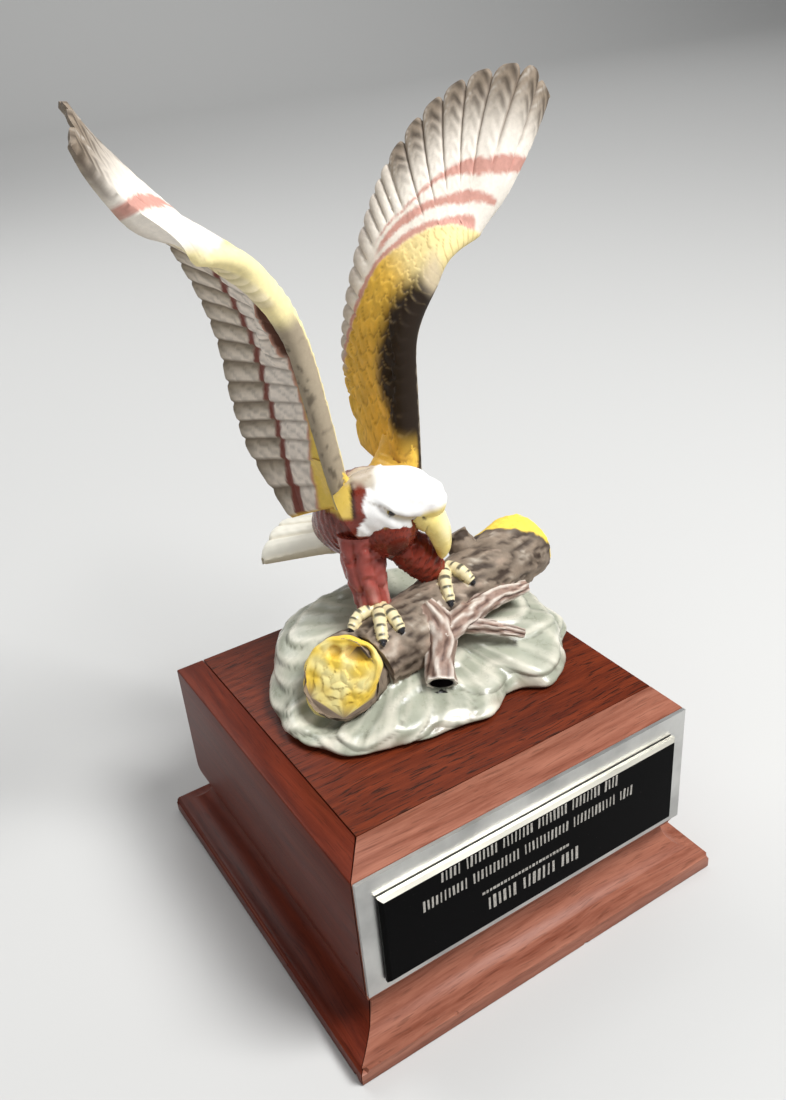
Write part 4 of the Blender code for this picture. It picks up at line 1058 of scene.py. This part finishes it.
STRIPE = [(.40, .60), (.62, .64), (.66, .62), (.71, .60), (.84, .595), (.88, .58), (.92, .61), (.96, .69), (1.0, .80)]
INNER_LINE = [(.40, .38), (.55, .36), (.62, .32), (.66, .28), (.72, .25), (.79, .22), (.84, .21), (.88, .23), (.91, .28), (.97, .42), (1.0, .54)]


ARM_REACH = 0.13


def ventral_paint(which, place, reach, quill, points):
    """Underside: two columns of pale feathers parted by a maroon stripe, yellow at the root, a grey arm."""
    wobble = 0.008 * mottle(points, 1.6, 14)
    depth = reach + wobble
    stripe, line = line_at(place, STRIPE), line_at(place, INNER_LINE)
    arm_side = ease(0.45, 0.52, place)
    # Each outer feather runs from a dark copy of its colour on the side tucked under its neighbour to a light one:
    # painted shade across the feather.
    outer_tone = blend(np.array([0.36, 0.30, 0.225]) * (1 + 0.25 * mottle(points, 3, 9)[..., None]), (0.78, 0.69, 0.58), ease(0.1, 0.7, quill))
    outer_tone = blend(outer_tone, (0.20, 0.16, 0.11), 0.6 * ease(0.86, 1.0, depth))
    inner_tone = np.array([0.88, 0.79, 0.69]) * (1 + 0.1 * mottle(points, 3, 10)[..., None])
    colours = blend(outer_tone, inner_tone, ease(0.02, -0.02, depth - stripe) * arm_side)
    hatch = 0.5 + 0.5 * np.sin(quill * 9 + reach * 38 + 2.4 * mottle(points, 2.5, 29))
    colours = blend(colours, colours * 0.45, 0.5 * ease(0.5, 1.0, hatch) * arm_side)
    seam = ease(0.12, 0.03, np.minimum(quill, 1 - quill))
    colours = blend(colours, (0.13, 0.095, 0.065), 0.6 * seam * arm_side)
    width = 0.04 + 0.045 * ease(0.93, 1.0, place)
    zigzag = 0.022 * (1 - 2 * quill)
    colours = blend(colours, BAND_MAROON, 0.95 * arm_side * inside(depth + zigzag, stripe - width, stripe + width * 0.9, 0.012))
    colours = blend(colours, (0.55, 0.24, 0.15), 0.85 * arm_side * inside(depth + 0.5 * zigzag, line - 0.022, line + 0.014, 0.01))
    yellow = arm_side * ease(0.015, -0.015, depth - line + 0.012)
    colours = blend(colours, (0.80, 0.58, 0.12), yellow * ease(0.74, 0.84, place))
    # Away from the root the strip by the inner line is dark maroon-brown instead of yellow: painted shade along the
    # arm.
    colours = blend(colours, (0.10, 0.04, 0.025), yellow * ease(0.84, 0.74, place))
    # Near-black painted shade in the crevice along the arm.
    crevice = arm_side * inside(depth, ARM_REACH, ARM_REACH + 0.06, 0.03) * ease(0.99, 0.93, place)
    colours = blend(colours, (0.03, 0.018, 0.012), 0.92 * crevice)
    arm = ease(ARM_REACH + 0.02, ARM_REACH - 0.01, depth) * arm_side
    ticks = ease(0.15, 0.45, mottle(points * [1, 1, 0.8], 1.3, 40))
    arm_tone = blend(np.broadcast_to([0.36, 0.30, 0.215], points.shape), (0.10, 0.078, 0.055), 0.75 * ticks)
    edge_tone = WING_YELLOW if which == "right" else UMBER
    at_edge = ease(0.62, 0.54, place) if which == "right" else ease(0.022, 0.008, depth)
    colours = blend(colours, blend(arm_tone, edge_tone, at_edge), arm)
    hand = 1 - arm_side
    shown, gloss = dorsal_paint(which, place, reach, quill, points)
    colours = blend(colours, shown, hand * 0.55)
    return colours, np.full(place.shape, 0.65)


def covert_lap(place, reach):
    """Small feathers over the arm, their rounded tips toward the wing's tip."""
    column = reach * 7.5
    across = column - np.floor(column)
    row = (1 - place) * 25 + 0.5 * (np.floor(column) % 2) - 0.5 * (2 * across - 1)**2
    return row - np.floor(row), across


def dorsal_relief(place, reach, quill, points):
    primary = place < PRIMARY_SHARE
    outer = line_at(place, OUTER_BAND)
    vane = np.where(primary, ease(0.30, 0.5, reach), ease(outer - 0.02, outer + 0.06, reach))
    groove = -0.42 * np.exp(-(np.minimum(quill, 1 - quill) / 0.07)**2) + 0.15 * np.exp(-((quill - 0.5) / 0.045)**2)
    slope = 0.22 * (quill - 0.5)
    barbs = 0.07 * np.sin(reach * 70 + np.abs(quill - 0.5) * 16)
    lap, across = covert_lap(place, reach)
    coverts = ease(0.02, -0.02, reach - line_at(place, OCHRE_EDGE)) * ease(0.40, 0.52, place) * ease(0.99, 0.93, place)
    scales = 0.42 * (lap**1.5 - 0.5) + 0.05 * np.sin(across * 28)
    step = 0.12 * ease(-0.01, 0.01, line_at(place, OCHRE_EDGE) - reach)
    return vane * (groove + slope + barbs) + coverts * scales + step + 0.06 * mottle(points, 1.5, 23)


def ventral_relief(place, reach, quill, points):
    arm_side = ease(0.45, 0.52, place)
    stripe, line = line_at(place, STRIPE), line_at(place, INNER_LINE)
    shingle = 0.26 * (quill - 0.5) - 0.2 * np.exp(-(np.minimum(quill, 1 - quill) / 0.12)**2)
    hatch = 0.09 * np.sin(quill * 9 + reach * 38 + 2.4 * mottle(points, 2.5, 29))
    step = 0.55 * ease(stripe + 0.005, stripe - 0.02, reach) * ease(line - 0.03, line, reach)
    groove = -0.35 * np.exp(-((reach - stripe) / 0.02)**2)
    crevice = -0.35 * np.exp(-((reach - ARM_REACH - 0.03) / 0.03)**2)
    vane = ease(ARM_REACH, ARM_REACH + 0.07, reach)
    quiet = 0.25 * np.exp(-((quill - 0.5) / 0.06)**2) - 0.3 * np.exp(-(np.minimum(quill, 1 - quill) / 0.07)**2)
    return vane * (arm_side * (shingle + hatch) + (1 - arm_side) * quiet) + arm_side * (step + groove + crevice) \
        + 0.07 * mottle(points, 1.6, 33) + 0.12 * (1 - vane) * mottle(points, 2.2, 41)


def feather_columns():
    """Places round the margin, how far each reaches, and its place across its own feather."""
    columns = []
    for index in range(PRIMARIES):
        for share in np.arange(11) / 11:
            columns.append(((index + share) / PRIMARIES * PRIMARY_SHARE, 1 - 0.065 * abs(2 * share - 1)**4, share))
    for index in range(SECONDARIES):
        for share in np.arange(6) / 6:
            spot = PRIMARY_SHARE + (index + share) / SECONDARIES * (1 - PRIMARY_SHARE)
            columns.append((spot, 1 - 0.026 * abs(2 * share - 1)**3, share))
    columns.append((1.0, 0.97, 1.0))
    table = np.array(columns)
    table[:5, 1] = 1.0
    return table


def wing_form(which):
    places, tips, quill = feather_columns().T
    rows = np.concatenate([[0.0, 0.004, 0.012, 0.024], np.linspace(0.04, 0.2, 10), np.linspace(0.217, 0.985, 42), [1.0]])
    root_line = smooth(SPINES[which], places, WING_KNOTS_SPINE)
    tip_line = smooth(MARGINS[which], places, WING_KNOTS_MARGIN)
    shares = rows[:, None] * tips[None, :]
    middle = root_line[None] + (tip_line - root_line)[None] * shares[..., None]
    normal = unit(np.cross(np.gradient(middle, axis=0), np.gradient(middle, axis=1)))
    normal *= np.sign((normal @ np.array([INWARD[which], 0, 0.3])).mean())
    bow = np.interp(places, [0, 0.5], [HAND_BOW[which], ARM_BOW[which]]) * np.sin(math.pi * rows)[:, None]
    middle = middle + normal * bow[..., None]
    length = np.linalg.norm(tip_line - root_line, axis=1)
    edge = unit(tip_line[0] - root_line[0])
    beside = middle - root_line[0]
    from_edge = np.linalg.norm(beside - (beside @ edge)[..., None] * edge, axis=-1)
    from_arm = shares * length[None, :]
    depth = np.minimum(from_arm, from_edge + 0.02)
    wrist = ARM_WRIST[which]
    arm = np.interp(places, [0, 1], [wrist, ARM_ROOT])[None] * np.ones_like(shares)
    hand = wrist + (ARM_TIP - wrist) * rows[:, None]
    arm = np.where(from_edge < from_arm, hand, arm)
    round_edge = np.sqrt(np.clip(1 - (1 - np.clip(depth / arm, 0, 1))**2, 0, 1))
    vane = VANE_HALF
    over = round_edge * (arm + (vane - arm) * ease(0, 1, (depth / arm - 1) / 3.5))
    under = round_edge * (arm + (vane - arm) * ease(0, 1, (depth / arm - 1) / 0.9))
    row_count, column_count = shares.shape
    place = np.broadcast_to(places, shares.shape)
    quill = np.broadcast_to(quill, shares.shape)
    drawn = eagle_frame(middle)
    rim = np.minimum(1, np.minimum(shares / 0.02, (rows[-1] - rows[:, None]) / 0.02)) * ease(0, 0.004, place) * ease(1, 0.996, place)
    over = over + rim * round_edge * dorsal_relief(place, shares, quill, drawn)
    under = under + rim * round_edge * ventral_relief(place, shares, quill, drawn)
    over, under = np.maximum(over, 0.16 * rim), np.maximum(under, 0.16 * rim)
    closed = np.ones(shares.shape, dtype=bool)
    closed[[0, -1], :] = False
    closed[:, [0, -1]] = False
    over, under = over * closed, under * closed
    paints = [dorsal_paint(which, place, shares, quill, drawn), ventral_paint(which, place, shares, quill, drawn)]
    upper = np.arange(row_count * column_count).reshape(shares.shape)
    lower = upper.copy()
    lower[closed] = row_count * column_count + np.arange(closed.sum())
    points = np.concatenate([eagle_frame(middle + normal * over[..., None]).reshape(-1, 3),
                             eagle_frame(middle - normal * under[..., None])[closed]])
    colours = np.concatenate([paints[0][0].reshape(-1, 3), paints[1][0][closed]])
    gloss = np.concatenate([paints[0][1].reshape(-1), paints[1][1][closed]])
    faces = []
    for row in range(row_count - 1):
        for column in range(column_count - 1):
            corners = [(row, column), (row + 1, column), (row + 1, column + 1), (row, column + 1)]
            if not closed[corners[0]] and not closed[corners[2]]:
                corners = corners[1:] + corners[:1]
            for sheet in (upper, lower):
                loop = [int(sheet[corner]) for corner in corners]
                faces.append((loop[0], loop[1], loop[2]))
                faces.append((loop[0], loop[2], loop[3]))
    return clay(f"figurine_{which}_wing", points, faces, colours, gloss, "feather_paint")


for which in ("left", "right"):
    wing_form(which)
SHOULDERS = {
    "left": [(4, -14, 47, 9, 5.5), (9, -15, 49, 9, 4.2), (12.5, -15, 54, 8, 3.0), (13.5, -15, 60, 6, 1.4)],
    "right": [(-5, -14, 44, 13, 6), (-11, -16, 53, 14, 4.2), (-16, -16, 66, 10, 1.8)]}


def shoulder_paint(share, turn, points):
    """Maroon on the body's side; above it yellow under the near wing and ochre under the far one."""
    colours, gloss = plumage_paint(MAROON, 7, 9, 0.5, 0.35)(share, turn, points)
    jag = 0.6 * mottle(points, 1.8, 5)
    near = ease(-2.0, -4.0, points[..., 0])
    colours = blend(colours, ARMPIT_YELLOW, near * ease(50.3, 51.2, points[..., 2] + jag))
    ochre = (1 - near) * ease(0.2, 0.35, share + 0.1 * jag)
    return blend(colours, OCHRE * (1 + 0.1 * mottle(points, 3, 8)[..., None]), ochre), gloss


for which, stations in SHOULDERS.items():
    painted_limb(f"figurine_{which}_shoulder", [(*eagle_frame(station[:3]), *station[3:]) for station in stations],
                 34, 40, (0.17, -0.98, 0), "maroon_glaze", shoulder_paint, plumage_relief(7, 9, 0.3))

# Joining. The forms are fused into the one cast piece, the stub is bored, and every point takes the
# paint of the form that it came from.
for record in painted_forms:
    if record["form"] not in (rock, bore):
        cut_or_join(rock, record["form"], "UNION", "MANIFOLD")
cut_or_join(rock, bore, "DIFFERENCE", "MANIFOLD")
settle(rock, [record["form"] for record in painted_forms if record["form"] is not rock])
source_points = np.concatenate([record["points"] for record in painted_forms])
source_colours = np.concatenate([record["colours"] for record in painted_forms])
source_gloss = np.concatenate([record["gloss"] for record in painted_forms])
source_finish = np.concatenate([record["finish"] for record in painted_forms])
finder = kdtree.KDTree(len(source_points))
for index, point in enumerate(source_points):
    finder.insert(point, index)
finder.balance()
cast = rock.data
nearest = np.array([finder.find(vertex.co)[1] for vertex in cast.vertices])
paint = cast.attributes.new("paint", "FLOAT_COLOR", "POINT")
paint.data.foreach_set("color", np.column_stack([np.clip(source_colours[nearest], 0.003, 0.95), np.ones(len(nearest))]).ravel())
sheen = cast.attributes.new("sheen", "FLOAT", "POINT")
sheen.data.foreach_set("value", source_gloss[nearest].astype(np.float32))
corner_finish = source_finish[nearest]
face_finish = np.array([np.bincount(corner_finish[list(face.vertices)]).argmax() for face in cast.polygons])


def hand_paint_group():
    """Brushed colour broken up a little, with its unevenness as a mask and a fine relief."""
    group, start, end = group_sockets("hand_paint", [
        ("Paint", "NodeSocketColor", None), ("Place", "NodeSocketVector", None), ("Brush Size", "NodeSocketFloat", 900.0),
        ("Unevenness", "NodeSocketFloat", 0.15), ("Speckle", "NodeSocketFloat", 0.1)],
        [("Colour", "NodeSocketColor"), ("Uneven", "NodeSocketFloat"), ("Relief", "NodeSocketFloat")])
    link = group.links.new
    brush = add(group, "ShaderNodeTexNoise", Detail=5.0, Roughness=0.6)
    link(start.outputs["Place"], brush.inputs["Vector"])
    link(start.outputs["Brush Size"], brush.inputs["Scale"])
    grit = add(group, "ShaderNodeTexNoise", Scale=5200.0, Detail=2.0)
    link(start.outputs["Place"], grit.inputs["Vector"])
    tone = maths(group, "ADD", 1.0, maths(group, "MULTIPLY", maths(group, "SUBTRACT", brush.outputs["Fac"], 0.5),
                                          maths(group, "MULTIPLY", start.outputs["Unevenness"], 2.0)))
    shade = group.nodes.new("ShaderNodeCombineColor")
    for channel in range(3):
        link(tone, shade.inputs[channel])
    colour = mix(group, 1.0, start.outputs["Paint"], shade.outputs[0], "MULTIPLY")
    specks = maths(group, "MULTIPLY", maths(group, "SUBTRACT", grit.outputs["Fac"], 0.62, clamp=True), 5.0, clamp=True)
    colour = mix(group, maths(group, "MULTIPLY", specks, start.outputs["Speckle"]), colour, (0.10, 0.08, 0.06))
    link(colour, end.inputs["Colour"])
    link(brush.outputs["Fac"], end.inputs["Uneven"])
    link(maths(group, "ADD", brush.outputs["Fac"], maths(group, "MULTIPLY", grit.outputs["Fac"], 0.35)), end.inputs["Relief"])
    return group


HAND_PAINT = hand_paint_group()


def painted_finish(name, brush_size, unevenness, speckle, bump_strength, specular, coat):
    material = bpy.data.materials.new(name)
    material.use_nodes = True
    tree = material.node_tree
    shader = tree.nodes["Principled BSDF"]
    laid = add(tree, "ShaderNodeAttribute", attribute_name="paint")
    gloss = add(tree, "ShaderNodeAttribute", attribute_name="sheen")
    place = add(tree, "ShaderNodeTexCoord")
    hand = tree.nodes.new("ShaderNodeGroup")
    hand.node_tree = HAND_PAINT
    hand.inputs["Brush Size"].default_value = brush_size
    hand.inputs["Unevenness"].default_value = unevenness
    hand.inputs["Speckle"].default_value = speckle
    tree.links.new(laid.outputs["Color"], hand.inputs["Paint"])
    tree.links.new(place.outputs["Object"], hand.inputs["Place"])
    tree.links.new(hand.outputs["Colour"], shader.inputs["Base Color"])
    rough = maths(tree, "ADD", gloss.outputs["Fac"], maths(tree, "MULTIPLY", maths(tree, "SUBTRACT", hand.outputs["Uneven"], 0.5), 0.3), clamp=True)
    tree.links.new(rough, shader.inputs["Roughness"])
    bump = add(tree, "ShaderNodeBump", Strength=bump_strength, Distance=0.0002)
    tree.links.new(hand.outputs["Relief"], bump.inputs["Height"])
    tree.links.new(bump.outputs[0], shader.inputs["Normal"])
    shader.inputs["Specular IOR Level"].default_value = specular
    shader.inputs["Coat Weight"].default_value = coat
    shader.inputs["Coat Roughness"].default_value = 0.2
    return material


cast.materials.clear()
for name, values in {
        "feather_paint": (900.0, 0.16, 0.15, 0.25, 0.16, 0.0), "bisque_white": (500.0, 0.05, 0.06, 0.15, 0.4, 0.2),
        "maroon_glaze": (700.0, 0.25, 0.15, 0.3, 0.24, 0.08), "bark_paint": (800.0, 0.35, 0.3, 0.5, 0.2, 0.0),
        "petal_paint": (600.0, 0.14, 0.1, 0.3, 0.25, 0.0), "rock_glaze": (350.0, 0.16, 0.2, 0.25, 0.4, 0.22),
        "claw_black": (600.0, 0.1, 0.1, 0.1, 0.5, 0.4)}.items():
    cast.materials.append(painted_finish(name, *values))
cast.polygons.foreach_set("material_index", face_finish.astype(np.int32))
cast.shade_smooth()
cast.set_sharp_from_angle(angle=math.radians(62))
rock.name = "eagle_figurine_cast"
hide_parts("eagle_figurine")
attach(rock, "root")

# Studio. A pale sweep, soft lights, and the camera where the photograph was taken from.
floor_mesh = bpy.data.meshes.new("studio_floor")
FLOOR_REACH, SWEEP_RISE = 2.0, 2.4
sweep = [(-FLOOR_REACH * 3, 0.0), (FLOOR_REACH, 0.0)]
for step in range(1, 13):
    bend = step / 12 * math.pi / 2
    sweep.append((FLOOR_REACH + SWEEP_RISE / 3 * math.sin(bend), SWEEP_RISE / 3 * (1 - math.cos(bend))))
sweep.append((sweep[-1][0], SWEEP_RISE))
floor_mesh.from_pydata([(side * 6.0, back, up) for back, up in sweep for side in (-1, 1)], [],
                       [(2 * i, 2 * i + 1, 2 * i + 3, 2 * i + 2) for i in range(len(sweep) - 1)])
floor_mesh.shade_smooth()
floor = bpy.data.objects.new("studio_floor", floor_mesh)
bpy.context.scene.collection.objects.link(floor)
floor_paint = bpy.data.materials.new("studio_floor")
floor_paint.use_nodes = True
floor_paint.node_tree.nodes["Principled BSDF"].inputs["Base Color"].default_value = (0.55, 0.55, 0.54, 1)
floor_paint.node_tree.nodes["Principled BSDF"].inputs["Roughness"].default_value = 0.9
floor_mesh.materials.append(floor_paint)

world = bpy.data.worlds.new("studio")
bpy.context.scene.world = world
world.use_nodes = True
world.node_tree.nodes["Background"].inputs["Color"].default_value = (0.86, 0.88, 0.92, 1)
world.node_tree.nodes["Background"].inputs["Strength"].default_value = 0.14
bpy.context.scene.view_settings.view_transform = "Standard"
for name, place, aim, size, energy in (
        ("key", (0.35, -0.5, 1.0), (0, 0, 0.08), 0.45, 17.0),
        ("fill", (-0.8, -0.6, 0.5), (0, 0, 0.08), 0.9, 2.2),
        ("back", (-0.2, 0.8, 0.8), (0, 0, 0.1), 0.6, 4.0),
        ("sweep", (0.9, 1.0, 2.2), (1.4, 2.8, 0.5), 2.0, 34.0)):
    light = bpy.data.lights.new(name, "AREA")
    light.size, light.energy = size, energy
    lamp = bpy.data.objects.new(name, light)
    lamp.location = place
    lamp.rotation_euler = (Vector(aim) - Vector(place)).to_track_quat("-Z", "Y").to_euler()
    bpy.context.scene.collection.objects.link(lamp)

CAMERA_PLACE = Vector((-118.835, -200.709, 232.353)) * MM
CAMERA_RIGHT, CAMERA_UP = Vector((0.84169, -0.53445, -0.07697)), Vector((0.3198, 0.3785, 0.8686))
camera = bpy.data.cameras.new("camera")
camera.sensor_fit, camera.sensor_width, camera.lens = "AUTO", 36.0, 33.84
camera.clip_start = 0.01
viewer = bpy.data.objects.new("camera", camera)
viewer.matrix_world = Matrix.Translation(CAMERA_PLACE) @ Matrix(
    (CAMERA_RIGHT, CAMERA_UP, CAMERA_RIGHT.cross(CAMERA_UP))).transposed().to_4x4()
bpy.context.scene.collection.objects.link(viewer)
bpy.context.scene.camera = viewer
